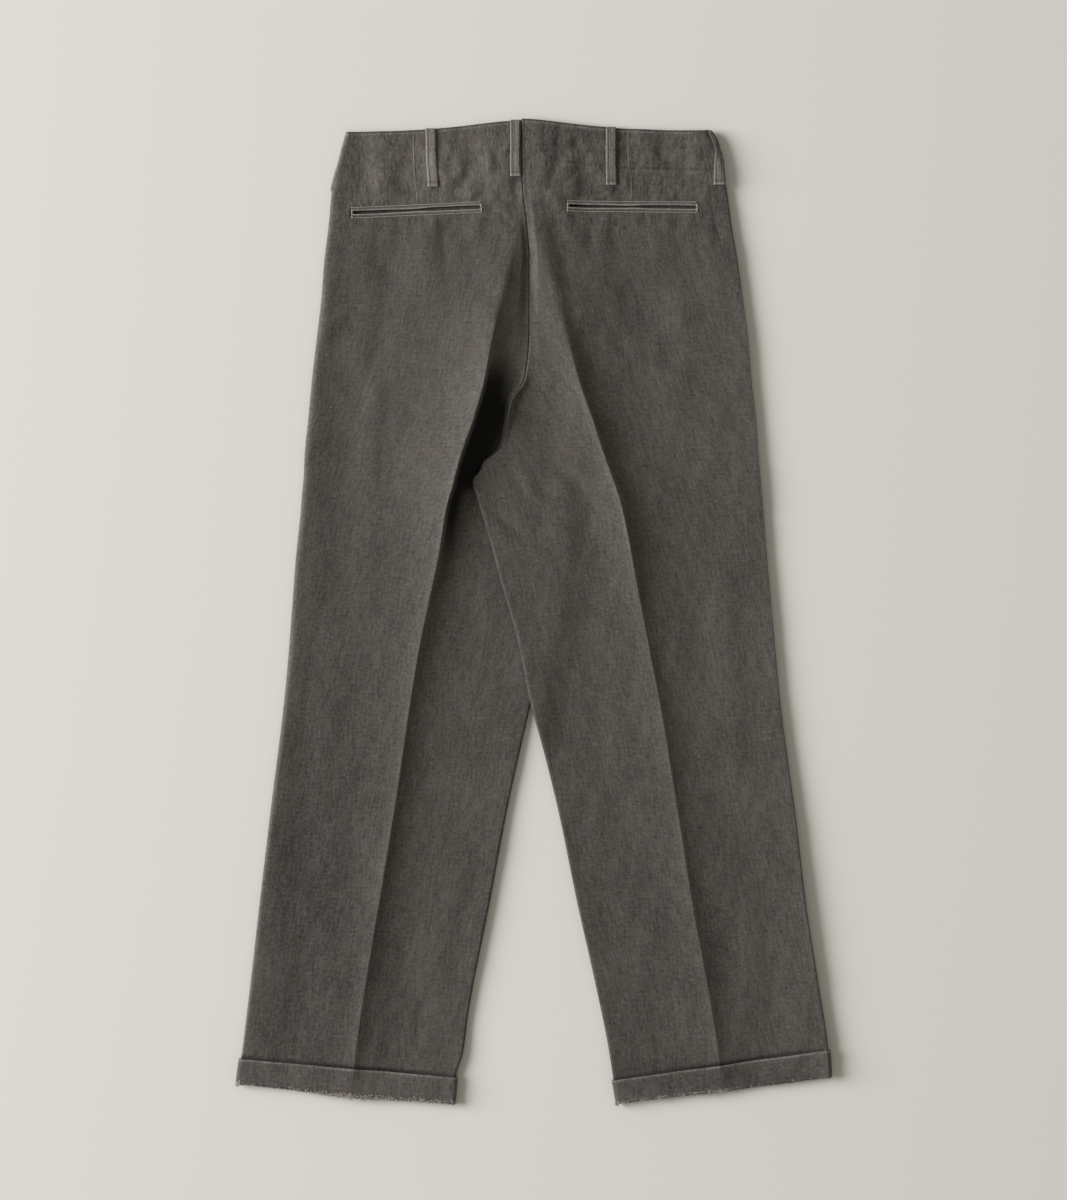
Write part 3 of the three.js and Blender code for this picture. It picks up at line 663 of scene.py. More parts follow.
def weave_at(finish, place, pitch):
    """The ribs of the yarn, pitch millimetres apart, as waves along and across the cloth."""
    waves = []
    for direction in ("X", "Y"):
        settings = {"wave_type": "BANDS", "bands_direction": direction, "wave_profile": "SIN"}
        turns = {"Vector": place, "Scale": 1000 * math.tau / pitch / 20, "Distortion": 0.6}
        turns.update({"Detail": 1.0, "Detail Scale": 2.0})
        waves.append(finish.node("ShaderNodeTexWave", settings, turns, "Fac"))
    return waves[0] * waves[1]


def blend(finish, share, first, second):
    """A colour between two, each a socket or three numbers."""
    ends = [c if isinstance(c, Socket) else (*c, 1) for c in (first, second)]
    values = {"Factor": share, 6: ends[0], 7: ends[1]}
    return finish.node("ShaderNodeMix", {"data_type": "RGBA"}, values, 2)


def held(finish, value):
    """A value kept between 0 and 1."""
    settings = {"operation": "MULTIPLY", "use_clamp": True}
    return finish.node("ShaderNodeMath", settings, {0: value, 1: 1.0})


# %% The finish itself: dark and light yarn, a warm tint in patches, worn places and painted highlights, and near-black for dark lines and painted shade
PAINTED_SHADE_AND_DARK_LINES = (0.0045, 0.0040, 0.0038)
WARMER = (1.07, 0.98, 0.94)
WEAVE_PITCH = 0.8


def cloth_finish(name, dark, light, rub_and_painted_light, ribs=0.0, speckle=1.4):
    """A woven cloth between dark and light, lighter where rubbed or a highlight is painted, near-black
    along dark lines and where shade is painted, with ribs so far apart if any.
    """
    finish = Finish(name)
    place = finish.node("ShaderNodeAttribute", {"attribute_name": "flat"}, {}, "Vector")
    wear_and_painted_light = finish.node("ShaderNodeAttribute", {"attribute_name": "wear_and_painted_light"}, {}, "Fac")
    dye_and_painted_light = finish.node("ShaderNodeAttribute", {"attribute_name": "dye_and_painted_light"}, {}, "Fac")
    noise = partial(noise_at, finish, place)
    kept = partial(held, finish)
    between = partial(blend, finish)
    slub = noise(2.7, 17, 2.0, 1.5)
    cross = noise(12, 2.5, 2.0, 3.0)
    grain = noise(2.7, 3.2, 2.0, 7.0)
    blotch = noise(8, 24, 2.0, 11.0)
    wash = noise(60, 110, 2.0, 5.0)
    across = finish.node("ShaderNodeSeparateXYZ", {}, {"Vector": place}, 1)
    waist = kept(across * 20 - 7.9)
    crepe = noise(6, 10, 2.0, 17.0) * waist
    vein = abs(noise(14, 20, 3.0, 29.0))
    lines = kept(1 - vein * 13) * (waist * 0.8 + 0.2)
    # The crepe wrinkles and fine crease lines of the waist are darker where the bump sinks them, which is
    # painted shade.
    tone = slub * 0.5 + cross * 0.36 + grain * 0.62 + blotch * 0.28 + wash * 0.3
    tone = tone + crepe * 0.5 + lines * -0.13 + dye_and_painted_light + 0.41
    warm = noise(14, 18, 2.0, 23.0) * 1.8 + grain * 0.8 + 0.45
    tinted = []
    for colour in (dark, light):
        warmed = [part * more for part, more in zip(colour, WARMER)]
        tinted.append(between(kept(warm), colour, warmed))
    base = between(kept(tone), *tinted)
    patchy = kept(wear_and_painted_light * (grain * speckle + 1.0))
    nub = kept(noise(1.7, 2.6, 1.0, 41.0) * 9 - 2.0) * 0.3
    patchy = kept(patchy + nub)
    # Above 0 the value mixes to the rubbed colour: wear, and painted highlights on lit crests and edges.
    colour = between(patchy, base, rub_and_painted_light)
    # Below 0 it mixes to near-black: painted shade in the deep fold, above the cuffs, under the loops and
    # in the pocket slits, and dark seam and edge lines.
    colour = between(kept(wear_and_painted_light * -1.0), colour, PAINTED_SHADE_AND_DARK_LINES)
    weave = weave_at(finish, place, WEAVE_PITCH)
    relief = weave * 0.15 + slub * 0.5 + grain * 0.5 + cross * 0.35 + crepe * 2.0 - lines * 0.7
    if ribs:
        bands = {"wave_type": "BANDS", "bands_direction": "X", "wave_profile": "SIN"}
        values = {"Vector": place, "Scale": 1000 * math.tau / ribs / 20, "Distortion": 0.3}
        relief = relief + finish.node("ShaderNodeTexWave", bands, values, "Fac") * 0.5
    raised = {"Strength": 0.6, "Distance": 0.0006, "Height": relief}
    bump = finish.node("ShaderNodeBump", {}, raised)
    rough = patchy * -0.06 + 0.98
    material = finish.finish(Base_Color=colour, Roughness=rough, Normal=bump)
    finish.finish(Sheen_Weight=0.08, Sheen_Roughness=0.6, Specular_IOR_Level=0.2)
    return material


cloth = cloth_finish(
    "trouser_cloth", (0.024, 0.022, 0.0185), (0.110, 0.1005, 0.0885), (0.26, 0.235, 0.21)
)
cuff_cloth = cloth_finish(
    "cuff_cloth", (0.034, 0.031, 0.027), (0.132, 0.1215, 0.110), (0.29, 0.262, 0.235), speckle=1.8
)
welt_cloth = cloth_finish(
    "welt_cloth", (0.028, 0.0255, 0.022), (0.12, 0.110, 0.098), (0.34, 0.308, 0.275), speckle=0.8
)
loop_cloth = cloth_finish(
    "loop_cloth", (0.066, 0.060, 0.054), (0.19, 0.174, 0.157), (0.36, 0.33, 0.30), ribs=1.9
)

# %% [markdown]
# ## The two backs
# Each back runs from the stitched waist edge to the hem inside the cuff, and from its side fold over
# the crease to the seat seam and the inseam. The points lie closer together beside the crease and in
# the top, where the folds are sharp, and further apart where the leg is plain. The crest of the left
# crease leans over the deep fold beside it, so the points are also pushed sideways there.

# %% Columns and rows of a back
FOLD_SHARE = 0.07
CREST_SHARE = 0.5
CROWDING = 1.45
SEAM_SHARE = 0.008
SEAM_LIP = 0.25
ROW_STOPS = [0, 0.28, 0.88, 1]
LENGTH_STOPS = [0, 0.13, 0.928, 1]


def back_x(side, y, u, lap):
    """The x of the point u of the way from the outer edge to the inner one."""
    inward = -side.sign
    outer = side.plan.outer(y)
    inner = inner_x(side, y)
    crest = side.plan.crease(y) - side.relief.lean(y)
    in_roll = side.relief.inRoll(y)
    reach = side.relief.roll(y) if lap is None else lap
    begin = FOLD_SHARE if lap is None else SEAM_SHARE
    to_crest = 1 - (1 - np.clip((u - begin) / (CREST_SHARE - begin), 0, 1)) ** CROWDING
    past_crest = np.clip((u - CREST_SHARE) / (1 - FOLD_SHARE - CREST_SHARE), 0, 1) ** CROWDING
    before = mix(outer + inward * reach, crest, to_crest)
    x = np.where(u > CREST_SHARE, mix(crest, inner - inward * in_roll, past_crest), before)
    if lap is None:
        x = np.where(u < FOLD_SHARE, outer + inward * reach * quarter_turn(u / FOLD_SHARE), x)
    else:
        x = x + inward * SEAM_LIP * np.clip(u / SEAM_SHARE, 0, 1) * (1 - to_crest) ** 8
    turned = inner - inward * in_roll * quarter_turn((1 - u) / FOLD_SHARE)
    return np.where(u > 1 - FOLD_SHARE, turned, x)


def row_share(v):
    """How far down the piece row v lies. v is 1 at the waist, and rows crowd there and at the hem."""
    return np.interp(1 - v, ROW_STOPS, LENGTH_STOPS)


def settle(side, share, column_x):
    """The points where each column meets each row, since both lean."""
    y = mix(waist_line(side, 0), hem_line(side, 0), share)
    for _ in range(5):
        x = column_x(y)
        y = mix(waist_line(side, x), hem_line(side, x), share)
    return x, y


def painted_fold_shade(x, y):
    """1 where shade is painted deep in the fold beside the left crease, and a share of it just beside the
    crest higher up.
    """
    past = x - left_plan.crease(y)
    reach = mix(20, 60, ramp(125, 150, y))
    floor_of_fold = ramp(0.5, 4, past) * (1 - ramp(reach * 0.4, reach, past)) * ramp(20, 105, y)
    upper_end = 1 - ramp(244, 284, y)
    beside_seam = mix(1, ramp(-22, -38, x), ramp(218, 236, y))
    beside_crest = 0.25 * fade(past, 9) * ramp(0.5, 4, past)
    above = beside_crest * ramp(340, 240, y) * ramp(200, 240, y)
    return np.maximum(floor_of_fold * upper_end * beside_seam, above)


LOOP_FEET = [(-108.2, 459.2), (-19.4, 470.4), (83.8, 461), (200.1, 460.8)]


def back_wear_and_painted_light(side, x, y, lap):
    """Above 0 where rubbed light or a highlight is painted, below 0 at dark lines and painted shade."""
    below = waist_line(side, x) - y
    crest = x - side.plan.crease(y) + side.relief.lean(y)
    ridge = np.clip(side.relief.ridge(y) / 12, 0, 1) * ramp(5, 1, side.relief.soft(y))
    seam = np.abs(x - inner_x(side, y))
    wear_and_painted_light = 0.26 * bell(below - 2.9, 1.2) - 0.5 * bell(below, 1.1)
    if side is right:
        # The facing's edge shows through here: a dark line on it is painted shade, and a light line below
        # it a painted highlight.
        shown = ramp(20, 40, x) * (0.75 + 0.25 * np.sin(x / 13))
        wear_and_painted_light -= 0.24 * shown * bell(below - FACING_DEPTH, 0.9)
        wear_and_painted_light += 0.11 * shown * bell(below - FACING_DEPTH - 2.4, 1.2)
    crest_rub = 0.14 + 0.16 * ramp(178, 150, y) * ramp(20, 90, y)
    wear_and_painted_light += crest_rub * ridge * fade(crest, 1.6)
    # A painted highlight on the lit side of each crease, left of its crest.
    wear_and_painted_light += 0.05 * ridge * fade(crest + 3, 13) * ramp(2, -3, crest)
    # A light line beside the seat seam on each back and a dark line on the seam itself; on the right back
    # between y 195 and 305 the light line is a stronger painted highlight, where its edge stands lit
    # beside the dark fold.
    lip = 0.16 if side is left else 0.04 + 0.3 * ramp(195, 225, y) * ramp(305, 275, y)
    wear_and_painted_light += (1 - folded_in(y)) * (lip * bell(seam - 1.2, 0.7) - 0.5 * bell(seam, 0.5))
    if side is right:
        # Painted shade on the right back's inner fold, and on its seam edge beside the deep fold.
        wear_and_painted_light -= 0.13 * folded_in(y) * bell(seam, 1.3)
        wear_and_painted_light -= 0.4 * ramp(222, 205, y) * ramp(140, 155, y) * bell(seam, 1.6)
    else:
        wear_and_painted_light += 0.22 * fade(x - side.plan.outer(y), 9)
        # Painted shade: deep in the fold beside the left crease the colour goes to near-black.
        wear_and_painted_light = wear_and_painted_light * (1 - painted_fold_shade(x, y)) - painted_fold_shade(x, y)
    # Painted shade above each cuff, a painted shadow below the foot of each loop, and the dark line along
    # the side seam.
    above_cuff = y - line_y(side, side.cuff_top, x)
    wear_and_painted_light -= (0.8 + 0.2 * np.sin(x / 31 + 1.0)) * bell(above_cuff - 1.6, 2.4)
    for foot_x, foot_y in LOOP_FEET:
        away = ramp(7.5, 5.5, np.abs(x - foot_x)) * ramp(0, -0.5, y - foot_y)
        wear_and_painted_light -= 0.3 * away * bell(y - foot_y + 3, 2.6)
    if lap is not None:
        side_seam = np.abs(x - side.plan.outer(y)) - lap
        wear_and_painted_light -= 0.3 * bell(side_seam, 0.9) * ramp(360, 420, y)
    return wear_and_painted_light


def cut_pocket(bm, pocket):
    """Cut the pocket's window out of a back along its four sides."""
    c, s = math.cos(pocket.angle), math.sin(pocket.angle)
    centre = Vector((pocket.x * MM, pocket.y * MM, 0))
    along, across = Vector((c, s, 0)), Vector((-s, c, 0))
    sides = [(along, POCKET_LENGTH), (-along, POCKET_LENGTH)]
    sides += [(across, POCKET_HEIGHT), (-across, POCKET_HEIGHT)]

    def near(face, margin):
        away = face.calc_center_median() - centre
        inside_length = abs(away.dot(along)) < (POCKET_LENGTH / 2 + margin) * MM
        return inside_length and abs(away.dot(across)) < (POCKET_HEIGHT / 2 + margin) * MM

    for normal, size in sides:
        faces = [f for f in bm.faces if near(f, 6)]
        edges = list({e for f in faces for e in f.edges})
        verts = list({v for f in faces for v in f.verts})
        spot = centre + normal * size / 2 * MM
        geom = verts + edges + faces
        bmesh.ops.bisect_plane(bm, geom=geom, dist=1e-7, plane_co=spot, plane_no=normal)
    inside = [f for f in bm.faces if near(f, 0)]
    bmesh.ops.delete(bm, geom=inside, context="FACES")


# %% Make both backs
BACK_ACROSS = 138
BACK_ALONG = 338


def make_back(side, name, node):
    bm, u, v = sheet_grid(BACK_ACROSS, BACK_ALONG)
    if side is right:
        u = 1 - u

    def lap(y):
        return right_wrap(y) if side is right else None

    x, y = settle(side, row_share(v), lambda at: back_x(side, at, u, lap(at)))
    z = top_z(side, x, y)
    lean = side.relief.lean(y) * ridge_share(side, x, y) ** 2
    lay(bm, x + lean, y, z, x - side.plan.crease(y), y, back_wear_and_painted_light(side, x, y, lap(y)))
    cut_pocket(bm, side.pocket)
    back = piece_from(bm, name, cloth, CLOTH)
    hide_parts(node)
    print(name, "faces", len(back.data.polygons), "area", round(flat_area(back), 4))
    return back


left_back = make_back(left, "left_back_cloth", "left_back")
right_back = make_back(right, "right_back_cloth", "right_back")

# %% [markdown]
# ## The two fronts
# The fronts lie underneath, outside down. Their middle rests on the floor, so they are plain, but
# their side folds curl up to meet the backs, and the right one wraps over the side fold as far as the
# side seam. At the top the left front laps under the right one, as a fly does.

# %% Make both fronts
FRONT_ACROSS = 64
FRONT_ALONG = 200
FRONT_FOLD = 0.1
UNDER_SHARE = 0.8
WRAP_FLAT_X = 500


def front_x(side, y, u):
    """The x of the point u of the way from the inner edge to the outer fold."""
    inward = -side.sign
    lapped = FLY_WIDTH * ramp(FLY_END_Y, FLY_TOP_Y, y) if side is left else 0
    inner = inner_x(side, y) + lapped
    outer = side.plan.outer(y)
    roll, in_roll = side.relief.roll(y), side.relief.inRoll(y)
    start = inner - inward * in_roll * quarter_turn(u / FRONT_FOLD)
    end = outer + inward * roll * quarter_turn((1 - u) / FRONT_FOLD)
    between = (u - FRONT_FOLD) / (1 - 2 * FRONT_FOLD)
    middle = mix(inner - inward * in_roll, outer + inward * roll, between)
    return np.where(u < FRONT_FOLD, start, np.where(u > 1 - FRONT_FOLD, end, middle))


def make_front(side, name, node):
    bm, u, v = sheet_grid(FRONT_ACROSS, FRONT_ALONG)
    if side is left:
        u = 1 - u
        under, over = u, np.zeros_like(u)
    else:
        under = np.clip(u / UNDER_SHARE, 0, 1)
        over = np.clip((u - UNDER_SHARE) / (1 - UNDER_SHARE), 0, 1)
    wrapped = over > 0

    def column_x(y):
        turned = side.plan.outer(y) - side.sign * right_wrap(y) * quarter_turn(over)
        return np.where(wrapped, turned, front_x(side, y, under))

    x, y = settle(side, row_share(v), column_x)
    z = np.where(wrapped, top_z(side, x, y), bottom_z(side, x, y))
    seam = np.abs(over - 1) * right_wrap(y)
    # The outer fold is rubbed light and lightened further as a painted highlight against the shade of its
    # roll; the whole wrap is painted a little darker as shade, to tone down its slope towards the light.
    edge_rub_and_painted_light = 0.5 * bell(np.abs(x - side.plan.outer(y)), 1.4) - 0.08
    unrubbed = (0.15 * fade(seam, 0.9) + 0.06) * ramp(330, 420, y)
    flat_x = np.where(wrapped, WRAP_FLAT_X - x, x)
    lay(bm, x, y, z, flat_x, y, np.where(wrapped, edge_rub_and_painted_light - unrubbed, 0))
    bmesh.ops.reverse_faces(bm, faces=bm.faces[:])
    front = piece_from(bm, name, cloth, CLOTH)
    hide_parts(node)
    print(name, "area", round(flat_area(front), 4))
    return front


left_front = make_front(left, "left_front_cloth", "left_front")
right_front = make_front(right, "right_front_cloth", "right_front")

# %% [markdown]
# ## Turned-up cuffs
# A turn-up is the hem folded outwards and up, so round each leg it is a flat ring outside the cloth,
# with a crisp top edge and a rounded fold at the bottom. It could be bent from the leg's own sheet,
# but a ring of its own keeps the shadow line under its top edge sharp.

# %% Make both cuffs
CUFF_AROUND = 260
CUFF_UP = 18
CUFF_RUB_HEIGHT = 27.6
FLOOR_GAP = 0.02
cuff_profile = curves("down above out", [
    [0, 28, 2.5], [0.08, 27.4, 2.35], [0.5, 14, 1.9], [0.8, 3.2, 1.8], [0.9, 1.1, 1.4],
    [0.96, 0.3, 0.8], [1, 0, 0.1],
])


def cuff_point(side, turn, above):
    """The x, y and z on the leg at turn, from 0 to 1 round it, and above the bottom fold."""
    over_back = turn < 0.5
    back_u = np.clip(turn * 2, 0, 1)
    front_u = np.clip(turn * 2 - 1, 0, 1)
    share = 1 - above / CUFF_HEIGHT
    x = np.zeros_like(turn)
    for _ in range(5):
        top = line_y(side, side.cuff_top, x)
        y = mix(top, line_y(side, side.cuff_fold, x), share)
        x = np.where(over_back, back_x(side, y, back_u, None), front_x(side, y, front_u))
    z = np.where(over_back, top_z(side, x, y), bottom_z(side, x, y))
    return x, y, z


def cuff_around(side, turn, above, out):
    """A point on the cuff, out millimetres off the leg."""
    step = 0.0015
    x, y, z = cuff_point(side, turn, above)
    x0, _, z0 = cuff_point(side, (turn - step) % 1, above)
    x1, _, z1 = cuff_point(side, (turn + step) % 1, above)
    off = side.sign * out / (np.hypot(x1 - x0, z1 - z0) + 1e-9)
    return x + (z1 - z0) * off, y, z - (x1 - x0) * off


def make_cuff(side, name, node):
    bm, u, v = sheet_grid(CUFF_AROUND, CUFF_UP)
    turn = u % 1 if side is left else (1 - u) % 1
    down = 1 - v
    above = cuff_profile.above(down)
    ragged = np.random.default_rng(9).normal(0, 0.4, CUFF_AROUND + 1)
    ragged[-1] = ragged[0]
    wobble = 0.35 * np.sin(u * 61) + ragged[np.rint(u * CUFF_AROUND).astype(int)]
    x, y, z = cuff_around(side, turn, above, cuff_profile.out(down))
    z = np.maximum(z, FLOOR_GAP)
    y = y + wobble * np.where(down > 0.85, 0.6, np.where(down < 0.1, 0.35, 0))
    # The top edge is rubbed light, and the same line stands in as a painted highlight where the edge
    # catches the light.
    top_rub_and_highlight = 0.36 * bell(CUFF_RUB_HEIGHT - above, 1.1) * (0.85 + 0.2 * np.sin(u * 37))
    if side is left:
        frayed = ramp(0.06, 0.16, turn) * (1 - ramp(0.38, 0.48, turn))
        bottom_rub = -0.5 * frayed * bell(above, 3.4)
    else:
        frayed = ramp(0.17, 0.23, turn) * (1 - ramp(0.46, 0.5, turn))
        bottom_rub = 0.5 * frayed * bell(above - 2, 0.8) * (0.5 + 0.5 * np.sin(u * 190))
    lay(bm, x, y, z, u * 480, above, top_rub_and_highlight + bottom_rub)
    bmesh.ops.remove_doubles(bm, verts=bm.verts[:], dist=1e-6)
    cuff = piece_from(bm, name, cuff_cloth, CLOTH)
    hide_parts(node)
    print(name, "area", round(flat_area(cuff), 4))
    return cuff


left_cuff = make_cuff(left, "left_cuff_cloth", "left_cuff")
right_cuff = make_cuff(right, "right_cuff_cloth", "right_cuff")

# %% [markdown]
# ## Welts of the back pockets
# A double-welt pocket has two narrow folded strips with a slit between them. Each is a small sheet
# with a rounded fold at the slit, a little proud of the panel. Each welt is rubbed light on the
# slope towards the slit and darker in a line towards its outer edge, and its fold down into the slit
# is painted near-black as shade.

# %% Make the four welts
WELT_CLOTH = 0.8
WELT_BASE = 0.25
WELT_CROWN = 0.8
WELT_DROP = 2.2
SLIT = {"left": (1.25, 0.6, 1.45), "right": (1.05, 0.4, 1.3)}


def pocket_point(pocket, along, across):
    c, s = math.cos(pocket.angle), math.sin(pocket.angle)
    return pocket.x + along * c - across * s, pocket.y + along * s + across * c


def slit_half(which, along):
    """Half the slit's height: it is narrow in its middle and closed at both ends."""
    left_part, middle, right_part = SLIT[which]
    t = along / POCKET_LENGTH + 0.5
    first = mix(left_part, middle, ramp(0.2, 0.48, t))
    height = np.where(t < 0.5, first, mix(middle, right_part, ramp(0.5, 0.66, t)))
    return height * ramp(0.0, 0.03, t) * (1 - ramp(0.97, 1.0, t)) + 0.08


def make_welt(which, upper):
    pocket = pockets[which]
    bm, u, v = sheet_grid(110, 20)
    along = mix(-POCKET_LENGTH / 2 + 0.2, POCKET_LENGTH / 2 - 0.2, u)
    sign = 1 if upper else -1
    drift = 0.2 * np.sin(along / 17) + 0.08 * np.sin(along / 6)
    inner, outer = slit_half(which, along) + 0.15, POCKET_HEIGHT / 2 + 0.3
    across = mix(outer, inner, v if not upper else 1 - v)
    x, y = pocket_point(pocket, along, sign * across + drift * (outer - across) / outer)
    share = (across - inner) / (outer - inner)
    crown = np.sqrt(np.clip(1 - (2 * share - 0.75) ** 2, 0, 1)) * np.where(share < 0.5, 1, 0.8)
    fold = -WELT_DROP * np.clip(1 - share / 0.12, 0, 1) ** 2
    z = top_z(pocket.side, x, y) + WELT_BASE + crown * WELT_CROWN + fold
    rub_and_dark_lines = 0.58 * bell(share - 0.21, 0.1) - 0.55 * bell(share - 0.76, 0.1)
    # Painted shade: the welt's fold down into the slit goes to near-black.
    rub_and_dark_lines = rub_and_dark_lines - 1.4 * bell(share, 0.075)
    lay(bm, x, y, z, along, across * 0.8, rub_and_dark_lines + 0.08)
    name = f"{which}_pocket_{'upper' if upper else 'lower'}_welt"
    welt = piece_from(bm, name + "_cloth", welt_cloth, WELT_CLOTH)
    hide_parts(name)
    return welt


welts = [make_welt(which, upper) for which in pockets for upper in (True, False)]

# %% [markdown]
# ## Belt loops
# A loop is a narrow strip folded lengthwise and stitched along both edges, then sewn down at the
# waist edge and at its foot. Between the two it stands off the trousers. Its edges catch the wear, so
# they are light, the left one more as a painted highlight; the side loop's upper edges are painted
# dark as shade.

# %% Make the four belt loops
LOOP_WIDTH = 12
LOOP_OFF = 0.5
LOOP_THICK = 1.4
LOOP_ARCH = 1.6
LOOP_WRINKLED = 0.2
loops = {
    # side, x at the top, middle and foot, y of the foot, width at the top, middle and foot
    "belt_loop_left": (left, (-111.2, -110.3, -108.2), 459.2, (10.6, 10.8, 11.2)),
    "belt_loop_centre": (left, (-19.8, -20, -19.4), 470.4, (10.6, 10.6, 11.2)),
    "belt_loop_right": (right, (83.4, 83.4, 83.8), 461, (10.6, 10.8, 11.2)),
    "belt_loop_right_side": (right, (188.4, 198.6, 200.1), 460.8, (4.4, 6.6, 12.4)),
}


def loop_point(loop, part, t):
    """A point on the outside of a loop: part across it, from -0.5 to 0.5, and t down it."""
    side, middles, foot, widths = loop
    stops = np.array([0, 0.45, 1])
    sway = 0.8 * np.sin(t * 7 + middles[0]) * t * (1 - t)
    middle, width = monotone(stops, np.array(middles))(t), monotone(stops, np.array(widths))(t)
    x = middle + part * width + sway
    y = mix(waist_line(side, middles[0]) + 0.8, foot, t)
    # Near the waist edge the strip turns down over it, to be caught in the seam.
    over = np.clip(1 - t / 0.05, 0, 1)
    arch = LOOP_ARCH * np.sin(math.pi * np.clip(t, 0, 1)) ** 0.6
    edge = np.clip((np.abs(part) - 0.4) / 0.1, 0, 1) ** 2
    slope = top_z(side, x + 0.5, y - 1, LOOP_WRINKLED) - top_z(side, x - 0.5, y - 1, LOOP_WRINKLED)
    length = np.hypot(slope, 1)
    off = LOOP_OFF + LOOP_THICK + arch - 0.55 * edge - 1.9 * over**2
    z = top_z(side, x, np.minimum(y, waist_line(side, x) - 1.2), LOOP_WRINKLED)
    return x - slope / length * off, y, z + off / length


def make_loop(node, loop):
    bm, u, v = sheet_grid(26, 64)
    part, t = u - 0.5, 1 - v
    x, y, z = loop_point(loop, part, t)
    # Both edges are rubbed light, the left one four times as much, as a painted highlight on the side
    # towards the light.
    edge = bell(0.5 - np.abs(part), 0.06) * np.where(part < 0, 1, 0.25)
    foot = bell(1 - t, 0.022)
    tack = bell(t - 0.93, 0.012)
    groove = bell(np.abs(part) - 0.25, 0.05)
    # On the side loop the upper edges are not rubbed light but painted dark, as shade where it turns
    # round the side.
    turned = ramp(0.55, 0.3, t) if node == "belt_loop_right_side" else 0
    rub_and_painted_light = (0.3 * edge + 0.8 * foot) * (1 - turned) - 0.35 * tack - 0.5 * groove
    rub_and_painted_light = rub_and_painted_light - 0.6 * turned * bell(0.5 - np.abs(part), 0.12)
    lay(bm, x, y, z, part * LOOP_WIDTH, y, rub_and_painted_light)
    strip = piece_from(bm, node + "_cloth", loop_cloth, LOOP_THICK)
    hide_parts(node)
    return strip


loop_pieces = {node: make_loop(node, loop) for node, loop in loops.items()}

# %% The loop on the left side, of which only an edge shows round the side fold
SIDE_LOOP_ENDS = (516, 454.5)
SIDE_LOOP_HEIGHTS = (1.2, 6.4)
SIDE_LOOP_SEEN = 1.4


def make_side_loop():
    bm, u, v = sheet_grid(6, 40)
    down = 1 - v
    y = mix(*SIDE_LOOP_ENDS, down)
    out = mix(-2.6, 2.0, down**1.4) * ramp(-0.02, 0.03, v)
    x = left_plan.outer(y) - out + SIDE_LOOP_SEEN * u
    wear_and_painted_light = 0.3 * bell(v, 0.02) - 0.25
    lay(bm, x, y, mix(*SIDE_LOOP_HEIGHTS, u), u * LOOP_WIDTH, y, wear_and_painted_light)
    return piece_from(bm, "belt_loop_left_side_cloth", loop_cloth, LOOP_THICK)


side_loop = make_side_loop()
print("left side loop", round(flat_area(side_loop), 6))

# %% [markdown]
# ## Stitches
# Lockstitching shows as a row of short thread beads sunk in the cloth. Each bead is a small stretched
# icosphere: a few faces are enough at this size, and a real shape casts the tiny shadow that a painted
# line would miss.

# %% Sew a row of stitches along a path that lies on the cloth
STITCH = 2.2
STITCH_GAP = 0.7
THREAD = 0.3


def sew(bm, points, gap, thread):
    """Beads of thread along a list of points in millimetres."""
    reach = np.cumsum([0.0] + [(b - a).length for a, b in zip(points[:-1], points[1:])])
    for start in np.arange(0, reach[-1] - STITCH + 0.01, STITCH + gap):
        ends = (start, start + STITCH)
        a, b = (Vector([np.interp(at, reach, axis) for axis in zip(*points)]) for at in ends)
        turn = (b - a).to_track_quat("X", "Z").to_matrix().to_4x4()
        size = Matrix.Diagonal((STITCH / 2, thread, thread * 0.8, 1))
        place = Matrix.Translation((a + b) / 2 * MM) @ turn @ Matrix.Scale(MM, 4) @ size
        bmesh.ops.create_icosphere(bm, subdivisions=1, radius=1, matrix=place)


def on_cloth(side, xs, ys, raise_by=0.12):
    """Points on the outside of a back for a list of places."""
    zs = top_z(side, np.array(xs, float), np.array(ys, float))
    return [Vector((x, y, z + raise_by)) for x, y, z in zip(xs, ys, zs)]


def thread_finish(name, dark, light):
    finish = Finish(name)
    place = finish.node("ShaderNodeTexCoord", {}, {}, "Object")
    twist = finish.node("ShaderNodeTexNoise", {}, {"Vector": place, "Scale": 700.0, "Detail": 2.0})
    return finish.finish(Base_Color=blend(finish, twist, dark, light), Roughness=0.8)


dark_thread = thread_finish("dark_thread", (0.05, 0.045, 0.04), (0.15, 0.13, 0.115))
light_thread = thread_finish("light_thread", (0.13, 0.115, 0.10), (0.33, 0.30, 0.27))
pocket_thread = thread_finish("pocket_thread", (0.27, 0.235, 0.205), (0.52, 0.46, 0.41))


def stitched(name, rows, material, gap=STITCH_GAP, thread=THREAD):
    bm = bmesh.new()
    for points in rows:
        sew(bm, points, gap, thread)
    print(name, "faces", len(bm.faces))
    return piece_from(bm, name, material)


# %% The row along the waist edge and the box round each pocket
WAIST_STITCH = 4.0
BOX_OUT = 0.1
BAR_INSETS = (0.4, 1.1)
BAR_RAISE = 1.1


def waist_row(side, x_from, x_to):
    xs = np.linspace(x_from, x_to, 110)
    return on_cloth(side, xs, waist_line(side, xs) - WAIST_STITCH)


waist_rows = [waist_row(left, -199, -14), waist_row(right, -12, 184)]
waist_stitches = stitched("waist_stitches", waist_rows, dark_thread)


def pocket_box(which):
    """A row along each long side of a pocket, and two bars of thread across each end."""
    pocket = pockets[which]
    half, high = POCKET_LENGTH / 2 + BOX_OUT, POCKET_HEIGHT / 2 + BOX_OUT
    rows = []
    for sign in (1, -1):
        along = np.linspace(-half, half, 80)
        rows.append(on_cloth(pocket.side, *pocket_point(pocket, along, sign * high + 0 * along)))
        across = np.linspace(-high, high, 8)
        for inset in BAR_INSETS:
            bar = sign * (half - inset) + 0 * across
            rows.append(on_cloth(pocket.side, *pocket_point(pocket, bar, across), BAR_RAISE))
    return rows


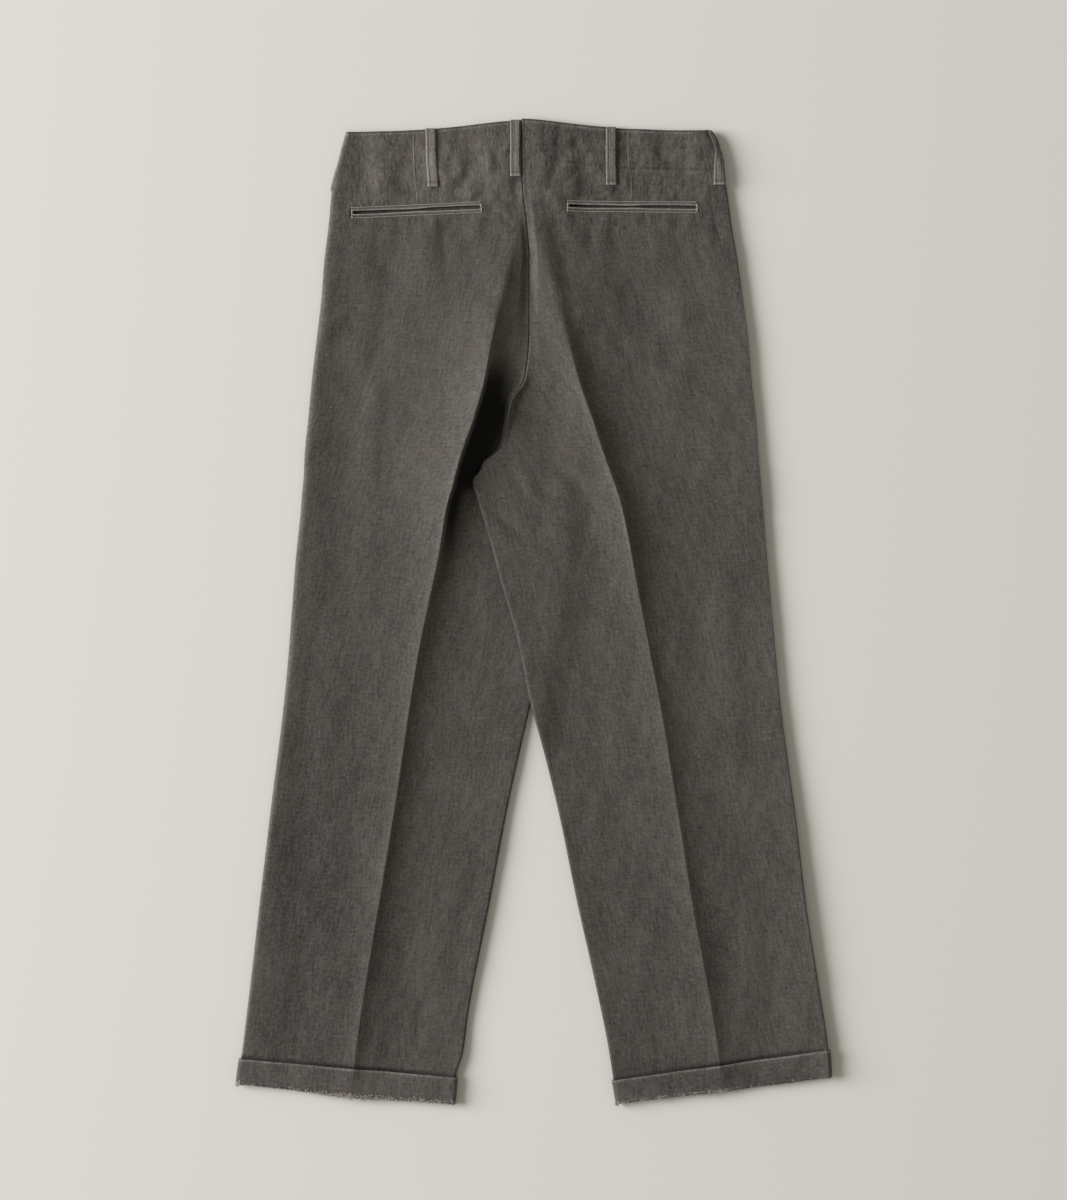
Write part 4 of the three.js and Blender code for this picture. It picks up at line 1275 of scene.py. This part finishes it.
pocket_stitches = [
    stitched(f"{which}_pocket_stitches", pocket_box(which), pocket_thread, 0.1, 0.42) for which in pockets
]


# %% Two rows down each belt loop, and two bars of thread across its foot
def loop_rows(loop):
    rows = []
    t = np.linspace(0.04, 0.985, 40)
    for part in (-0.3, 0.3):
        x, y, z = loop_point(loop, part + 0 * t, t)
        rows.append([Vector((a, b, c + 0.1)) for a, b, c in zip(x, y, z)])
    for t_bar in (0.95, 0.985):
        part = np.linspace(-0.46, 0.46, 8)
        x, y, z = loop_point(loop, part, t_bar + 0 * part)
        rows.append([Vector((a, b, c + 0.12)) for a, b, c in zip(x, y, z)])
    return rows


loop_stitches = [
    stitched(f"{node}_stitches", loop_rows(loop), light_thread, 0.4) for node, loop in loops.items()
]

# %% [markdown]
# ## Darts
# A dart is a wedge of cloth sewn away so that the flat piece fits the hollow of the back. Outside it
# shows as one thin line that runs from the waist edge to the pocket, with a soft lip on one side. A
# narrow strip of cloth along that line gives the lip its own light and shadow.

# %% Lay a narrow lip of cloth along a line on a back
DART_WIDTH = 2.6
DART_HEIGHT = 0.8
DART_SINK = 0.25


def lip(name, side, route):
    """A strip along route, lifted along its middle and sunk into the cloth at its edges."""
    xs, ys = np.array(route[::-1], float).T
    bm, u, v = sheet_grid(14, 60)
    part = u - 0.5
    y = mix(ys[0], ys[-1], v)
    x = monotone(ys, xs)(y) + part * DART_WIDTH
    lift = DART_HEIGHT * np.cos(part * math.pi) - DART_SINK
    rub_and_dark_lines = 0.65 * bell(part - 0.12, 0.2) - 0.5 * bell(part + 0.36, 0.13)
    lay(bm, x, y, top_z(side, x, y) + lift, x, y, rub_and_dark_lines)
    return piece_from(bm, name, cloth)


darts = [
    lip("left_dart", left, [(-129.7, 514.1), (-129.2, 496), (-128.6, 479.2), (-124.8, 441)]),
    lip("right_dart", right, [(101.7, 516.3), (102.5, 486.9), (105.5, 462.6), (105.2, 444.5)]),
]

# %% [markdown]
# ## Frayed cuff edges
# The bottom fold of each cuff is worn through, and short ends of yarn stand out of it. Each end is a
# thin three-sided cone, leaning at its own angle. A few longer tufts hang at the corners.

# %% Grow the frayed ends
FRAY_CLEAR = 0.6
YARN_RADII = (0.55, 0.25)
frayed_yarn = thread_finish("frayed_yarn", (0.08, 0.066, 0.058), (0.66, 0.58, 0.52))


def fray(name, side, count, thick_from, thick_to, tufts):
    """Loose yarn on the bottom of a cuff's back, thicker between two shares of its width."""
    bm = bmesh.new()
    picks = np.random.default_rng(31 if side is left else 32)
    turns = np.concatenate([
        picks.uniform(0.004, 0.496, count),
        picks.uniform(thick_from, thick_to, count),
        *[picks.normal(turn, 0.0025, 14) for turn in tufts],
    ])
    tufted = np.arange(len(turns)) >= 2 * count
    above = np.abs(picks.normal(0, 1.8, len(turns)))
    out = cuff_profile.out(1 - np.clip(above / CUFF_HEIGHT, 0, 1)) + 0.25
    x, y, z = cuff_around(side, turns, above, out)
    lengths = picks.uniform(1.2, 2.6, len(turns)) * np.where(tufted, 1.7, 1)
    for px, py, pz, size, tuft in zip(x, y, z, lengths, tufted):
        heading = picks.normal(-math.pi / 2, 0.5 if tuft else 1.1)
        aim = Vector((math.cos(heading), math.sin(heading), picks.normal(0, 0.15))).normalized()
        middle = Vector((px, py, max(pz, FRAY_CLEAR))) + aim * size * 0.3
        middle.z = max(middle.z, FRAY_CLEAR + abs(aim.z) * size / 2)
        place = Matrix.Translation(middle * MM) @ aim.to_track_quat("Z", "Y").to_matrix().to_4x4()
        root, tip = (radius * MM for radius in YARN_RADII)
        sizes = {"radius1": root, "radius2": tip, "depth": size * MM}
        bmesh.ops.create_cone(bm, cap_ends=True, segments=3, matrix=place, **sizes)
    print(name, "faces", len(bm.faces))
    return piece_from(bm, name, frayed_yarn)


left_fray = fray("left_cuff_fray", left, 420, 0.14, 0.45, [0.006, 0.012, 0.2, 0.24, 0.3])
right_fray = fray("right_cuff_fray", right, 110, 0.2, 0.48, [0.494, 0.488, 0.4, 0.3])

# %% [markdown]
# ## The cut of each sheet
# The frame keeps the size that each sheet was cut to. A leg's back and front are each 300 to 345 mm
# wide at their widest and as long as the trousers are.

# %% [markdown]
# ## Floor, light and camera
# The trousers lie on a plain pale floor. One large soft light high on the left of the waist gives the
# lit and the dark side of each crease, and a pale sky fills the shadows. The camera looks straight
# down, from far enough away that the waist and the hems look as wide as they are.

# %% Floor
FLOOR_SIZE = 14
FLOOR_DROP = 0.0003
bpy.ops.mesh.primitive_plane_add(size=FLOOR_SIZE, location=(0, 0, -FLOOR_DROP))
floor = bpy.context.object
floor.name = "floor"
paint = Finish("pale_floor")
floor.data.materials.append(paint.finish(Base_Color=(0.57, 0.553, 0.515, 1), Roughness=0.9))

# %% Lights
FILL = 0.40
FILL_COLOUR = (1, 0.988, 0.87, 1)
LAMP_SPOT = Vector((-8.8, 1.3, 4.3))
LAMP_SIZE = 6.4
LAMP_POWER = 1915
LAMP_COLOUR = (0.94, 0.95, 1.0)

bpy.context.scene.view_settings.view_transform = "Standard"
world = bpy.data.worlds.new("room")
world.use_nodes = True
sky = world.node_tree.nodes["Background"]
sky.inputs["Color"].default_value = FILL_COLOUR
sky.inputs["Strength"].default_value = FILL
bpy.context.scene.world = world

light = bpy.data.lights.new("window", "AREA")
light.shape = "DISK"
light.size = LAMP_SIZE
light.energy = LAMP_POWER
light.color = LAMP_COLOUR
lamp = bpy.data.objects.new("window", light)
bpy.context.collection.objects.link(lamp)
lamp.visible_camera = False
lamp.location = LAMP_SPOT
lamp.rotation_euler = (-LAMP_SPOT).to_track_quat("-Z", "Y").to_euler()

# %% Camera
PHOTO_HEIGHT = 1.296
CAMERA_Y = 0.0135
CAMERA_UP = 3.2
camera = bpy.data.cameras.new("camera")
camera.angle = 2 * math.atan(PHOTO_HEIGHT / 2 / CAMERA_UP)
viewer = bpy.data.objects.new("camera", camera)
bpy.context.collection.objects.link(viewer)
viewer.location = (0, CAMERA_Y, CAMERA_UP)
bpy.context.scene.camera = viewer
